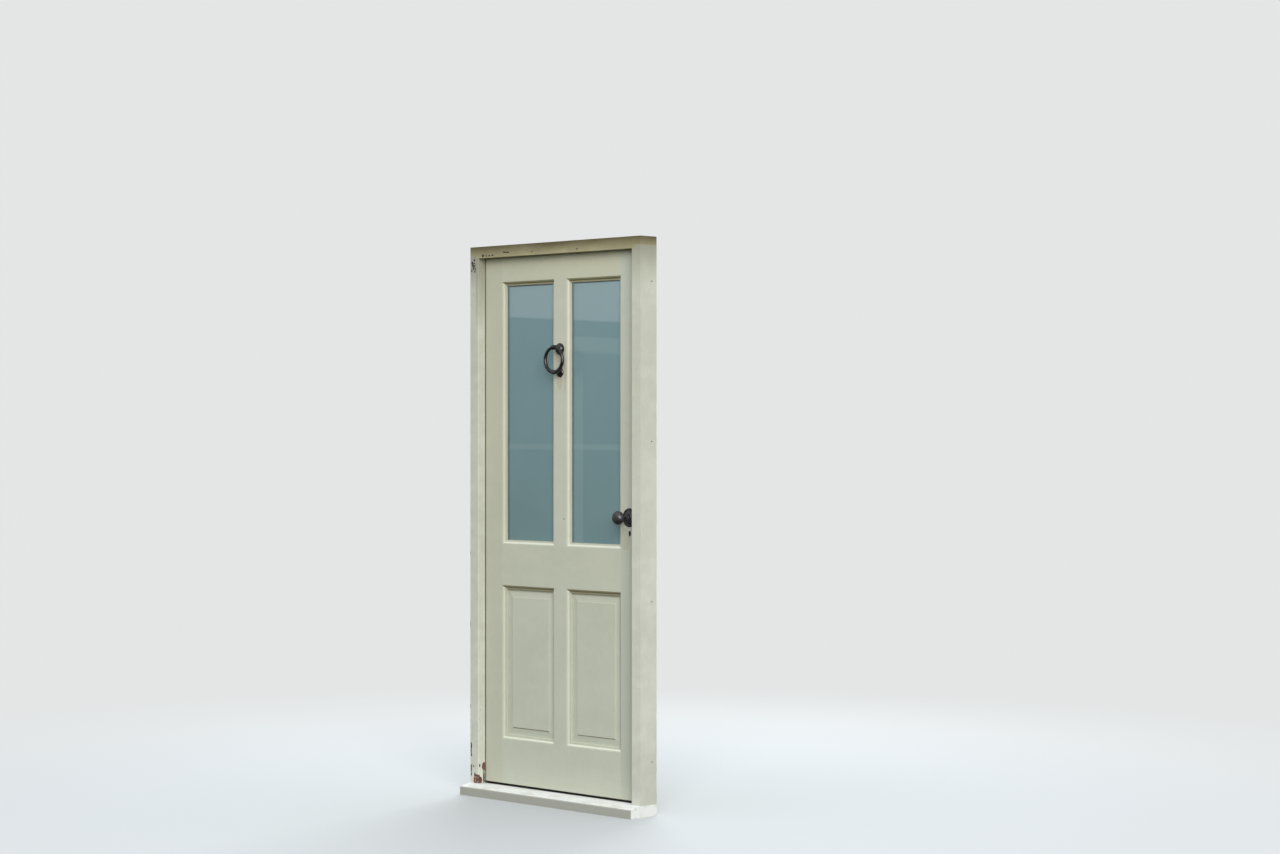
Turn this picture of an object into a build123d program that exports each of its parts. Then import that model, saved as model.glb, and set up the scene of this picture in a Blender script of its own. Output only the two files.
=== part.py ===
from build123d import *
import math
import os

# A cottage front door in its frame: one leaf with two obscured panes over two raised and fielded
# panels, hung on butt hinges to open inwards, with a mortice sash lock, ball knobs and a ring knocker.
# Millimetres. X runs along the door, Y into the building and Z up. The origin lies on the underside
# of the threshold, at the middle of the width, in the plane of the leaf's outer face.

# Leaf
leaf_width = 838.0
leaf_height = 1981.0
leaf_thickness = 44.0
stile_face = 102.5
top_rail_face = 100.5
lock_rail_face = 155.5
bottom_rail_face = 169.0
muntin_face = 65.5
panel_opening_height = 575.0

# Ovolo moulding worked on the inner edges of the leaf's members
moulding_width = 14.5
ovolo_radius = 8.0
moulding_quirk = 2.0

# Joinery of the leaf
tenon_thickness = 14.0
tenon_length = 75.0
tenon_set_in = 12.0
haunch = 40.0
twin_tenon_gap = 24.0
muntin_tenon_length = 45.0
glue_gap = 0.2
tenon_end_gap = 2.0

# Raised and fielded panels
panel_tongue = 6.0
panel_tongue_depth = 10.0
panel_margin = 30.0
panel_bevel_rise = 3.0
panel_field_step = 3.0
panel_play = 0.3
panel_side_gap = 0.8

# Glazing
glass_setback = 16.0
glass_thickness = 6.0
glass_cover = 10.0
glass_edge_gap = 0.8
bead_round = 6.0

# Frame
edge_gap = 3.0
threshold_gap = 6.0
stop_cover = 10.0
stop_depth = 34.0
stop_gap = 4.0
jamb_face = 44.0
head_face = 44.0
arris_radius = 2.0
frame_tenon_thickness = 16.0
frame_tenon_height = 20.0
frame_tenon_depth = 46.0
frame_tenon_from_front = 20.0

# Threshold
threshold_height = 41.0
threshold_projection = 52.0
threshold_front_height = 31.0
threshold_level_margin = 3.0
threshold_nose_radius = 4.0
dowel_radius = 6.0
dowel_length = 50.0
dowel_into_stone = 22.0

# Fixing holes through the jambs
fixing_hole_radius = 4.0
fixing_count = 4
fixing_from_threshold = 150.0
fixing_from_head = 130.0
fixing_from_stop = 24.0

# Butt hinges
hinge_length = 100.0
hinge_plate_width = 30.0
hinge_plate_thickness = 3.0
knuckle_radius = 6.0
knuckle_count = 5
knuckle_gap = 0.3
knuckle_stand_off = 6.5
knuckle_clearance = 0.9
hinge_pin_radius = 3.0
pin_clearance = 0.05
pin_tip_radius = 4.6
pin_tip_end_radius = 2.76
pin_tip_height = 3.0
top_hinge_margin = 150.0
bottom_hinge_margin = 225.0

# Screws
screw_clearance = 0.05
screw_slot_width = 1.0
hinge_screw_head = 4.4
hinge_screw_shank = 2.2
hinge_screw_length = 26.0
hinge_screw_row_inset = 9.0
hinge_screw_row_gap = 11.0
hinge_screw_end_margin = 10.0
hinge_screw_pitch = 25.0
small_screw_head = 3.2
small_screw_shank = 1.6
small_screw_length = 11.0
lock_screw_head = 3.6
lock_screw_shank = 1.9
lock_screw_length = 20.0

# Mortice sash lock
lock_backset = 57.0
lock_centres = 57.0
case_above_lock_rail = 26.5
case_depth = 73.5
case_above_follower = 35.0
case_below_keyhole = 30.0
case_thickness = 15.0
case_wall = 1.5
case_fit = 0.2
forend_width = 22.0
forend_thickness = 2.5
forend_overrun = 18.0
bolt_fit = 0.2
latch_travel = 12.0
latch_swing = 45.0
latch_head_height = 22.0
latch_head_length = 18.0
latch_head_thickness = 11.6
latch_head_rise = 6.0
latch_nose = 2.8
latch_stem_bottom = 11.5
latch_stem_height = 9.5
latch_stem_thickness = 8.0
latch_stem_length = 50.0
tip_radius = 3.0
tip_play = 0.25
arm_neck = 3.0
arm_thickness = 6.0
follower_radius = 9.0
follower_spigot_radius = 7.0
follower_play = 0.08
guide_post_from_follower = 13.0
spring_radius = 3.2
spring_wire = 0.9
spring_turns = 5
spring_lug_length = 4.0
spring_lug_inset = 4.0
bolt_travel = 14.0
bolt_height = 25.0
bolt_rise = 2.0
bolt_head_length = 16.0
bolt_tail_length = 53.0
bolt_tail_height = 18.0
bolt_tail_thickness = 3.0
bolt_tail_rise = 2.0
post_radius = 2.5
post_play = 0.2
stump_radius = 1.8
stump_play = 0.3
stump_from_follower = 18.0
stump_rise = 4.0
lever_count = 3
lever_thickness = 1.2
lever_spacing = 0.3
lever_height = 19.0
lever_boss_radius = 5.5
lever_boss_gap = 1.5
lever_post_gap = 1.0
lever_post_play = 0.1
lever_guide_gap = 1.0
lever_end_wall = 3.5
talon_width = 9.0
talon_depth = 7.0
keyhole_top_radius = 4.0
keyhole_slot_width = 5.0
keyhole_height = 18.0

# Strike plate in the lock jamb
strike_thickness = 2.0
strike_outer_margin = 12.0
strike_lip = 3.0
strike_end_margin = 24.0
keep_play = 0.6
keep_depth_play = 2.0

# Ball knobs on their roses
spindle_size = 8.0
spindle_play = 0.1
rose_radius = 34.0
rose_rim_height = 3.6
rose_rim_width = 3.0
rose_rim_round = 0.8
rose_rim_round_drop = 0.6
rose_rim_top_width = 0.6
rose_land_height = 3.0
rose_land_width = 7.0
rose_crown_height = 10.0
rose_crown_radius = 13.0
rose_crown_lip = 1.5
rose_dome_fullness = 1.2
rose_screw_count = 3
neck_radius = 8.5
neck_play = 0.3
neck_start = 1.5
neck_waist = 1.5
neck_collar_radius = 12.0
neck_collar_height = 4.0
neck_collar_from_leaf = 14.0
knob_radius = 25.0
knob_half_depth = 20.0
knob_side_radius = 15.0
knob_centre_from_leaf = 59.0
spindle_hole_radius = 9.5
grub_screw_radius = 2.0
grub_screw_length = 4.0
grub_screw_from_leaf = 24.0
spindle_cover = 14.0

# Keyhole plate on the inside
key_plate_radius = 17.0
key_plate_thickness = 3.0
key_plate_edge_drop = 1.2
key_plate_edge_width = 2.0
key_plate_screw_margin = 6.0

# Ring knocker on the upper muntin
boss_height = 1623.0
boss_radius = 21.5
boss_flange = 3.0
boss_dome = 14.0
boss_step = 2.0
boss_brow_out = 0.74
boss_brow_up = 0.78
ring_outer_radius = 52.0
ring_top_section = 5.8
ring_bottom_section = 7.2
ring_foot_ball_radius = 9.5
ring_start_cover = 1.0
ring_sections = 7
ring_plane_from_leaf = 32.0
ring_pin_above_boss = 5.5
ring_pin_radius = 3.5
ring_pin_clearance = 0.08
ring_pin_into_collar = 1.0
lug_radius = 9.0
lug_neck_radius = 5.4
lug_length = 12.0
collar_gap = 0.3
collar_radius = 8.4
collar_length = 3.7
striker_radius = 7.0
striker_gap = 0.3
strike_boss_radius = 18.0
strike_boss_height = 8.0
strike_edge_height = 2.0
strike_face_radius = 8.0
strike_brow_out = 0.78
strike_brow_up = 0.75
strike_spike_radius = 2.5
strike_spike_length = 25.0
shank_radius = 4.0
shank_clearance = 0.3
nut_radius = 7.5
nut_height = 8.0
nut_flange_radius = 10.0
nut_flange_height = 1.6
shank_short_of_nut = 1.0

# Places worked out from the sizes above
half_leaf = leaf_width / 2
leaf_bottom = threshold_height + threshold_gap
leaf_top = leaf_bottom + leaf_height
frame_front = -(stop_depth + stop_gap)
stop_back = -stop_gap
rebate_wall = half_leaf + edge_gap
stop_edge = half_leaf - stop_cover
stop_width = stop_cover + edge_gap
frame_half_width = stop_edge + jamb_face
rebate_top = leaf_top + edge_gap
head_stop_bottom = leaf_top - stop_cover
frame_top = head_stop_bottom + head_face
stile_edge = half_leaf - stile_face
muntin_edge = muntin_face / 2
panel_bottom = leaf_bottom + bottom_rail_face
panel_top = panel_bottom + panel_opening_height
glass_bottom = panel_top + lock_rail_face
glass_top = leaf_top - top_rail_face
mid_thickness = leaf_thickness / 2
fillet_depth = moulding_quirk + ovolo_radius
groove_front = mid_thickness - panel_tongue / 2
follower_x = half_leaf - lock_backset
keyhole_z = glass_bottom + case_above_lock_rail + case_below_keyhole
follower_z = keyhole_z + lock_centres

LOW_END = (Align.CENTER, Align.CENTER, Align.MIN)


def block(x, y, z):
    """A box between two limits on each axis."""
    sides = [max(limits) - min(limits) for limits in (x, y, z)]
    return Pos(min(x), min(y), min(z)) * Box(*sides, align=Align.MIN)


def sunk_screw(at, towards, head, shank, length, clearance=0.0, slot=True):
    """A countersunk slotted screw from its head's face, or its hole when given a clearance."""
    cone = Cone(head + clearance, shank + clearance, head - shank, align=LOW_END)
    body = Cylinder(shank + clearance, length + clearance, align=LOW_END)
    screw = cone + body
    if slot:
        screw -= Box(2 * head, screw_slot_width, head - shank)
    return Plane(origin=at, z_dir=towards) * screw


def rod(start, towards, radius, length):
    """A round rod from a start point."""
    return Plane(origin=start, z_dir=towards) * Cylinder(radius, length, align=LOW_END)


def turned(centre, outward, edges):
    """A turned piece about the Y direction, from edges in radius and height above the centre."""
    plane = Plane(origin=centre, x_dir=(1, 0, 0), z_dir=(0, 0, outward))
    return revolve(plane * make_face(edges), Axis(centre, (0, 1, 0)))


# Moulded edges: each lip is the strip of moulding that stands out of a member's edge

def ovolo(depth_from, sign):
    """The convex quarter of the moulding, between its quirk and its fillet."""
    start = (0, depth_from + sign * moulding_quirk)
    end = (ovolo_radius, depth_from + sign * fillet_depth)
    reach = ovolo_radius * math.sqrt(0.5)
    middle = (reach, end[1] - sign * reach)
    return ThreePointArc(start, middle, end)


def lip_section(both_faces):
    """Section of the moulding, square on the inner face where glazing beads cover it."""
    outer = ovolo(0, 1)
    tip = (moulding_width, fillet_depth)
    edges = [outer, Line(outer @ 1, tip)]
    if both_faces:
        inner = ovolo(leaf_thickness, -1)
        inner_tip = (moulding_width, leaf_thickness - fillet_depth)
        edges += [Line(tip, inner_tip), Line(inner_tip, inner @ 1), inner]
        edges += [Line(inner @ 0, outer @ 0)]
    else:
        corner = (moulding_width, leaf_thickness)
        edges += [Polyline(tip, corner, (0, leaf_thickness), outer @ 0)]
    return make_face(edges)


def run_along(start, across, length, section):
    """A section drawn from an edge outwards and inwards, run along that edge."""
    along = Vector(across).cross(Vector(0, 1, 0))
    return extrude(Plane(origin=start, x_dir=across, z_dir=along) * section, amount=length)


def lips_round(x, z, section):
    """The four lips of an opening, each pointing into it: left, right, bottom and top."""
    width = x[1] - x[0]
    height = z[1] - z[0]
    left = run_along((x[0], 0, z[0]), (1, 0, 0), height, section)
    right = run_along((x[1], 0, z[1]), (-1, 0, 0), height, section)
    bottom = run_along((x[1], 0, z[0]), (0, 0, 1), width, section)
    top = run_along((x[0], 0, z[1]), (0, 0, -1), width, section)
    return left, right, bottom, top


def inset(x, z, amount):
    """An opening's limits taken in on every side."""
    return (x[0] + amount, x[1] - amount), (z[0] + amount, z[1] - amount)


left_x = (-stile_edge, -muntin_edge)
right_x = (muntin_edge, stile_edge)
glass_z = (glass_bottom, glass_top)
panel_z = (panel_bottom, panel_top)

plain_lip = lip_section(False)
double_lip = lip_section(True)
glass_left_lips = lips_round(left_x, glass_z, plain_lip)
glass_right_lips = lips_round(right_x, glass_z, plain_lip)
panel_left_lips = lips_round(left_x, panel_z, double_lip)
panel_right_lips = lips_round(right_x, panel_z, double_lip)


def glass_rebate(x):
    """Room for a pane and its beads, open to the inner face."""
    wide, high = inset(x, glass_z, moulding_width - glass_cover)
    return block(wide, (glass_setback, leaf_thickness + 1), high)


def panel_groove(x):
    """Room for a panel's tongue."""
    reach = moulding_width - panel_tongue_depth - panel_side_gap
    wide, high = inset(x, panel_z, reach)
    return block(wide, (groove_front - panel_play, leaf_thickness - groove_front + panel_play), high)


rebates = [glass_rebate(left_x), glass_rebate(right_x), panel_groove(left_x), panel_groove(right_x)]


def tenon(x, z, clearance=0.0):
    """A tenon in the middle of the leaf's thickness, or its mortice when given a clearance."""
    half = tenon_thickness / 2 + clearance
    return block(x, (mid_thickness - half, mid_thickness + half), z)


def rail_tenon_heights():
    """Lower and upper limits of every rail tenon, from the bottom rail up."""
    lock_low = panel_top + tenon_set_in
    lock_high = glass_bottom - tenon_set_in
    lock_mid = (lock_low + lock_high) / 2
    return {
        "bottom": [(leaf_bottom + haunch, panel_bottom - tenon_set_in)],
        "lock": [(lock_low, lock_mid - twin_tenon_gap / 2), (lock_mid + twin_tenon_gap / 2, lock_high)],
        "top": [(glass_top + tenon_set_in, leaf_top - haunch)],
    }


def stile(side, lips):
    """A stile without its lock or hinges; side is -1 at the hinges and 1 at the lock."""
    body = block((side * stile_edge, side * half_leaf), (0, leaf_thickness), (leaf_bottom, leaf_top))
    for lip in lips:
        body += lip
    inner = side * (stile_edge - 1)
    end = side * (stile_edge + tenon_length + tenon_end_gap)
    for heights in rail_tenon_heights().values():
        for low, high in heights:
            body -= tenon((inner, end), (low - glue_gap, high + glue_gap), glue_gap)
    return body


def rail(name, z, lips, stiles):
    """A rail between the stiles, with its tenons, scribed over their mouldings."""
    body = block((-stile_edge, stile_edge), (0, leaf_thickness), z)
    for lip in lips:
        body += lip
    for neighbour in stiles:
        body -= neighbour
    reach = stile_edge + tenon_length
    for heights in rail_tenon_heights()[name]:
        body += tenon((-reach, -stile_edge), heights)
        body += tenon((stile_edge, reach), heights)
    return body


def muntin_mortice(z):
    """The slot in a rail that takes a muntin's tenon."""
    half = muntin_edge - tenon_set_in + glue_gap
    return tenon((-half, half), z, glue_gap)


def muntin(z, lips, rails):
    """A muntin between two rails, with a tenon at each end."""
    body = block((-muntin_edge, muntin_edge), (0, leaf_thickness), z)
    for lip in lips:
        body += lip
    for neighbour in rails:
        body -= neighbour
    half = muntin_edge - tenon_set_in
    body += tenon((-half, half), (z[0] - muntin_tenon_length, z[0]))
    body += tenon((-half, half), (z[1], z[1] + muntin_tenon_length))
    return body


stile_hinge = stile(-1, (glass_left_lips[0], panel_left_lips[0]))
stile_lock = stile(1, (glass_right_lips[1], panel_right_lips[1]))
stiles = (stile_hinge, stile_lock)

bottom_rail = rail("bottom", (leaf_bottom, panel_bottom), (panel_left_lips[2], panel_right_lips[2]), stiles)
lock_rail_lips = (panel_left_lips[3], panel_right_lips[3], glass_left_lips[2], glass_right_lips[2])
lock_rail = rail("lock", (panel_top, glass_bottom), lock_rail_lips, stiles)
top_rail = rail("top", (glass_top, leaf_top), (glass_left_lips[3], glass_right_lips[3]), stiles)

mortice_depth = muntin_tenon_length + tenon_end_gap
bottom_rail -= muntin_mortice((panel_bottom - mortice_depth, panel_bottom + 1))
lock_rail -= muntin_mortice((panel_top - 1, panel_top + mortice_depth))
lock_rail -= muntin_mortice((glass_bottom - mortice_depth, glass_bottom + 1))
top_rail -= muntin_mortice((glass_top - 1, glass_top + mortice_depth))

muntin_lower = muntin(panel_z, (panel_left_lips[1], panel_right_lips[0]), (bottom_rail, lock_rail))
muntin_upper = muntin(glass_z, (glass_left_lips[1], glass_right_lips[0]), (lock_rail, top_rail))


def cut_all(body, cutters):
    """A body with every cutter taken away."""
    for cutter in cutters:
        body -= cutter
    return body


stile_hinge = cut_all(stile_hinge, rebates)
stile_lock = cut_all(stile_lock, rebates)
bottom_rail = cut_all(bottom_rail, rebates)
lock_rail = cut_all(lock_rail, rebates)
top_rail = cut_all(top_rail, rebates)
muntin_lower = cut_all(muntin_lower, rebates)
muntin_upper = cut_all(muntin_upper, rebates)


# Panels and glazing

def upright(x, z):
    """A rectangle standing across the leaf, between limits along X and Z."""
    centre = ((x[0] + x[1]) / 2, 0, (z[0] + z[1]) / 2)
    plane = Plane(origin=centre, x_dir=(1, 0, 0), z_dir=(0, -1, 0))
    return plane * Rectangle(x[1] - x[0], z[1] - z[0])


def raised_side(x, face, direction):
    """The bevelled margin and the field on one side of a panel."""
    foot = Pos(0, face, 0) * upright(*inset(x, panel_z, moulding_width))
    top_y = face + direction * panel_bevel_rise
    field = inset(x, panel_z, moulding_width + panel_margin)
    head = Pos(0, top_y, 0) * upright(*field)
    bevel = loft([foot, head], ruled=True)
    return bevel + block(field[0], (top_y, top_y + direction * panel_field_step), field[1])


def raised_panel(x):
    """A raised and fielded panel with a tongue all round."""
    back = leaf_thickness - groove_front
    wide, high = inset(x, panel_z, moulding_width - panel_tongue_depth)
    high = (high[0] - panel_side_gap, high[1])
    body = block(wide, (groove_front, back), high)
    return body + raised_side(x, groove_front, -1) + raised_side(x, back, 1)


def pane(x):
    """A pane bedded against the back of the moulding, standing on the rebate's foot."""
    wide, high = inset(x, glass_z, moulding_width - glass_cover)
    wide = (wide[0] + glass_edge_gap, wide[1] - glass_edge_gap)
    return block(wide, (glass_setback, glass_setback + glass_thickness), (high[0], high[1] - glass_edge_gap))


def bead_section():
    """A glazing bead: flush with the inner face, with its inner corner rounded."""
    back = glass_setback + glass_thickness
    depth = leaf_thickness - back
    section = Pos(glass_cover / 2, back + depth / 2) * Rectangle(glass_cover, depth)
    corner = section.vertices().group_by(Axis.X)[-1].sort_by(Axis.Y)[-1]
    return fillet(corner, bead_round)


def glazing_beads(x):
    """Four beads round a pane, the level ones scribed over the upright ones."""
    left, right, bottom, top = lips_round(*inset(x, glass_z, moulding_width - glass_cover), bead_section())
    return Compound([left, right, bottom - left - right, top - left - right])


# Frame

def stop_section():
    """Section of a planted stop, drawn from its open edge outwards, with its front arris eased."""
    middle = (frame_front + stop_back) / 2
    section = Pos(stop_width / 2, middle) * Rectangle(stop_width, stop_depth)
    arris = section.vertices().group_by(Axis.X)[0].sort_by(Axis.Y)[0]
    return fillet(arris, arris_radius)


def frame_tenon(side, clearance=0.0):
    """The tenon on top of a jamb, or its mortice in the head when given a clearance."""
    mid_x = side * (rebate_wall + frame_half_width) / 2
    half = frame_tenon_thickness / 2 + clearance
    front = frame_front + frame_tenon_from_front
    depth = (front - clearance, front + frame_tenon_depth + clearance)
    heights = (rebate_top, rebate_top + frame_tenon_height + clearance)
    return block((mid_x - half, mid_x + half), depth, heights)


frame_depth = (frame_front, leaf_thickness)
frame_head = block((-frame_half_width, frame_half_width), frame_depth, (rebate_top, frame_top))
frame_head = frame_head - frame_tenon(-1, glue_gap) - frame_tenon(1, glue_gap)
stop_head = run_along((rebate_wall, 0, head_stop_bottom), (0, 0, 1), 2 * rebate_wall, stop_section())


def foot_dowel(side, clearance=0.0):
    """A steel dowel that holds a jamb's foot to the stone."""
    x = side * (rebate_wall + frame_half_width) / 2
    low = threshold_height - dowel_into_stone
    return rod((x, mid_thickness - clearance / 2, low), (0, 0, 1), dowel_radius + clearance, dowel_length)


def fixing_holes(side):
    """Holes through a jamb, from the rebate to the wall."""
    start = (side * (rebate_wall - 1), stop_back + fixing_from_stop, threshold_height + fixing_from_threshold)
    first = rod(start, (side, 0, 0), fixing_hole_radius, frame_half_width - rebate_wall + 2)
    last_z = rebate_top - fixing_from_head
    pitch = (last_z - threshold_height - fixing_from_threshold) / (fixing_count - 1)
    return [Pos(0, 0, number * pitch) * first for number in range(fixing_count)]


def jamb(side):
    """A jamb from the threshold up to the head, with its tenon and holes."""
    body = block((side * rebate_wall, side * frame_half_width), frame_depth, (threshold_height, rebate_top))
    body += frame_tenon(side)
    return cut_all(body, fixing_holes(side) + [foot_dowel(side, screw_clearance)])


def jamb_stop(side):
    """The stop planted on a jamb, scribed under the head's stop."""
    start_z = threshold_height if side > 0 else rebate_top
    height = rebate_top - threshold_height
    return run_along((side * stop_edge, 0, start_z), (side, 0, 0), height, stop_section()) - stop_head


jamb_hinge_side = jamb(-1)
jamb_lock_side = jamb(1)


def stone_threshold():
    """The weathered slab under the jambs, level under the door and sloping to its nose."""
    nose = frame_front - threshold_projection
    level = frame_front - threshold_level_margin
    points = [
        (nose, 0),
        (leaf_thickness, 0),
        (leaf_thickness, threshold_height),
        (level, threshold_height),
        (nose, threshold_front_height),
    ]
    section = make_face(Polyline(*points, close=True))
    edge = section.vertices().sort_by_distance((nose, threshold_front_height))[0]
    section = fillet(edge, threshold_nose_radius)
    plane = Plane(origin=(-frame_half_width, 0, 0), x_dir=(0, 1, 0), z_dir=(1, 0, 0))
    body = extrude(plane * section, amount=2 * frame_half_width)
    return body - foot_dowel(-1, screw_clearance) - foot_dowel(1, screw_clearance)


# Butt hinges

pin_x = -(half_leaf + edge_gap / 2)
pin_y = leaf_thickness + knuckle_stand_off
hinge_levels = {
    "bottom": leaf_bottom + bottom_hinge_margin + hinge_length / 2,
    "top": leaf_top - top_hinge_margin - hinge_length / 2,
}
hinge_levels["middle"] = (hinge_levels["bottom"] + hinge_levels["top"]) / 2
knuckle_length = (hinge_length - (knuckle_count - 1) * knuckle_gap) / knuckle_count
far_row = hinge_length / 2 - hinge_screw_end_margin
near_row = far_row - hinge_screw_pitch
plate_front = leaf_thickness - hinge_plate_width
plate_back = pin_y - knuckle_radius - knuckle_clearance


def hinge_screw_places(z):
    """Heights and depths of the screws in one hinge plate, staggered."""
    inner = plate_front + hinge_screw_row_inset
    outer = inner + hinge_screw_row_gap
    return [(inner, z - far_row), (outer, z - near_row), (outer, z + near_row), (inner, z + far_row)]


def hinge_plate(side, z):
    """A hinge plate with its knuckles: -1 is screwed to the jamb and 1 to the leaf."""
    face = pin_x + side * edge_gap / 2
    thick = (face, face + side * hinge_plate_thickness)
    low = z - hinge_length / 2
    plate = block(thick, (plate_front, plate_back), (low, low + hinge_length))
    first = 0 if side < 0 else 1
    for number in range(first, knuckle_count, 2):
        start = low + number * (knuckle_length + knuckle_gap)
        span = (start, start + knuckle_length)
        plate += block(thick, (plate_back, pin_y), span)
        plate += rod((pin_x, pin_y, start), (0, 0, 1), knuckle_radius, knuckle_length)
    plate -= rod((pin_x, pin_y, low - 1), (0, 0, 1), hinge_pin_radius + pin_clearance, hinge_length + 2)
    return cut_all(plate, hinge_screws(side, z, screw_clearance))


def hinge_recess(side, z):
    """The shallow housing that lets a plate lie flush."""
    face = pin_x + side * edge_gap / 2
    thick = (face - side, face + side * hinge_plate_thickness)
    half = hinge_length / 2
    return block(thick, (plate_front, leaf_thickness + 1), (z - half, z + half))


def hinge_screws(side, z, clearance=0.0):
    """Screws of one plate, or their holes when given a clearance."""
    face = pin_x + side * edge_gap / 2
    shape = (hinge_screw_head, hinge_screw_shank, hinge_screw_length, clearance, clearance == 0)
    return [sunk_screw((face, y, level), (side, 0, 0), *shape) for y, level in hinge_screw_places(z)]


def hinge_pin(z):
    """The pin of a hinge, with a button tip at each end."""
    half = hinge_length / 2
    pin = rod((pin_x, pin_y, z - half), (0, 0, 1), hinge_pin_radius, hinge_length)
    tip = Cone(pin_tip_radius, pin_tip_end_radius, pin_tip_height, align=LOW_END)
    pin += Pos(pin_x, pin_y, z + half) * tip
    return pin + Pos(pin_x, pin_y, z - half) * Rot(180, 0, 0) * tip


for level in hinge_levels.values():
    stile_hinge -= hinge_recess(1, level)
    jamb_hinge_side -= hinge_recess(-1, level)
    stile_hinge = cut_all(stile_hinge, hinge_screws(1, level, screw_clearance))
    jamb_hinge_side = cut_all(jamb_hinge_side, hinge_screws(-1, level, screw_clearance))


# Mortice sash lock: its parts are placed from the follower's centre and the keyhole's centre

forend_back = half_leaf - forend_thickness
case_back = forend_back - case_depth
case_front_y = mid_thickness - case_thickness / 2
case_back_y = mid_thickness + case_thickness / 2
case_low = keyhole_z - case_below_keyhole
case_high = follower_z + case_above_follower
inner_y = (case_front_y + case_wall, case_back_y - case_wall)


def keyhole(y):
    """A keyhole between two depths: a round top over a straight slot with a round foot."""
    half = keyhole_height / 2
    slot_half = keyhole_slot_width / 2
    heights = (keyhole_z - half + slot_half, keyhole_z + half - keyhole_top_radius)
    foot = rod((follower_x, y[0], heights[0]), (0, 1, 0), slot_half, y[1] - y[0])
    top = rod((follower_x, y[0], heights[1]), (0, 1, 0), keyhole_top_radius, y[1] - y[0])
    return top + foot + block((follower_x - slot_half, follower_x + slot_half), y, heights)


def around_bolt(z, clearance, x, thickness):
    """The room round a bolt head, with the same clearance on every side."""
    half = thickness / 2 + clearance
    return block(x, (mid_thickness - half, mid_thickness + half), (z[0] - clearance, z[1] + clearance))


latch_z = (follower_z + latch_head_rise, follower_z + latch_head_rise + latch_head_height)
bolt_z = (keyhole_z + bolt_rise, keyhole_z + bolt_rise + bolt_height)
forend_holes = [
    around_bolt(latch_z, bolt_fit, (forend_back - case_wall - 1, half_leaf + 1), latch_head_thickness),
    around_bolt(bolt_z, bolt_fit, (forend_back - case_wall - 1, half_leaf + 1), latch_head_thickness),
]

spigot_hole_radius = follower_spigot_radius + follower_play
spigot_hole = rod((follower_x, 0, follower_z), (0, 1, 0), spigot_hole_radius, leaf_thickness)
guide_post_x = follower_x + guide_post_from_follower
bolt_tail_low = bolt_z[0] + bolt_tail_rise
bolt_tail_mid = bolt_tail_low + bolt_tail_height / 2
lever_post_x = case_back + case_wall + lever_boss_radius + lever_boss_gap
lever_post_z = bolt_tail_low + bolt_tail_height + post_radius + lever_post_gap
spring_z = latch_z[1] - spring_radius
latch_back = half_leaf - bolt_fit - latch_head_length
spring_lug_x = latch_back - latch_stem_length + spring_lug_inset


def lock_case_body():
    """The lock's tray, with its posts, its spring lug and its holes."""
    tray = block((case_back, forend_back), (case_front_y, inner_y[1]), (case_low, case_high))
    room_x = (case_back + case_wall, forend_back - case_wall)
    room_z = (case_low + case_wall, case_high - case_wall)
    tray -= block(room_x, (inner_y[0], inner_y[1] + 1), room_z)
    depth = inner_y[1] - inner_y[0]
    tray += rod((guide_post_x, inner_y[0], bolt_tail_mid), (0, 1, 0), post_radius, depth)
    tray += rod((lever_post_x, inner_y[0], lever_post_z), (0, 1, 0), post_radius, depth)
    lug_x = (spring_lug_x - spring_lug_length, spring_lug_x)
    lug_z = (spring_z - spring_radius, case_high - case_wall)
    tray += block(lug_x, inner_y, lug_z)
    tray = tray - spigot_hole - keyhole((case_front_y - 1, inner_y[0] + 1))
    return cut_all(tray, forend_holes)


def lock_cover_plate():
    """The lid of the lock's case."""
    lid = block((case_back, forend_back), (inner_y[1], case_back_y), (case_low, case_high))
    return lid - spigot_hole - keyhole((inner_y[1] - 1, case_back_y + 1))


forend_z = (case_low - forend_overrun, case_high + forend_overrun)
forend_y = (mid_thickness - forend_width / 2, mid_thickness + forend_width / 2)


def forend_screws(clearance=0.0):
    """The two screws at the ends of the forend."""
    shape = (lock_screw_head, lock_screw_shank, lock_screw_length, clearance, clearance == 0)
    middle = forend_overrun / 2
    levels = (forend_z[0] + middle, forend_z[1] - middle)
    return [sunk_screw((half_leaf, mid_thickness, z), (-1, 0, 0), *shape) for z in levels]


def lock_forend_plate():
    """The forend, flush with the leaf's edge."""
    plate = block((forend_back, half_leaf), forend_y, forend_z)
    return cut_all(plate, forend_holes + forend_screws(screw_clearance))


arm_reach = latch_travel / 2 / math.sin(math.radians(latch_swing / 2))


def lock_follower():
    """The follower, drawn back, with the arm that moves the latch."""
    thickness = inner_y[1] - inner_y[0] - 2 * bolt_fit
    hub = rod((0, inner_y[0] + bolt_fit, 0), (0, 1, 0), follower_radius, thickness)
    hub += rod((0, case_front_y, 0), (0, 1, 0), follower_spigot_radius, case_thickness)
    arm_y = (mid_thickness - arm_thickness / 2, mid_thickness + arm_thickness / 2)
    hub += block((-arm_neck / 2, arm_neck / 2), arm_y, (0, arm_reach))
    hub += rod((0, arm_y[0], arm_reach), (0, 1, 0), tip_radius, arm_thickness)
    hub = Rot(0, -latch_swing / 2, 0) * hub
    hub = Pos(follower_x, 0, follower_z) * hub
    side = spindle_size / 2 + spindle_play
    limits = (follower_x - side, follower_x + side)
    return hub - block(limits, (0, leaf_thickness), (follower_z - side, follower_z + side))


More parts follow.
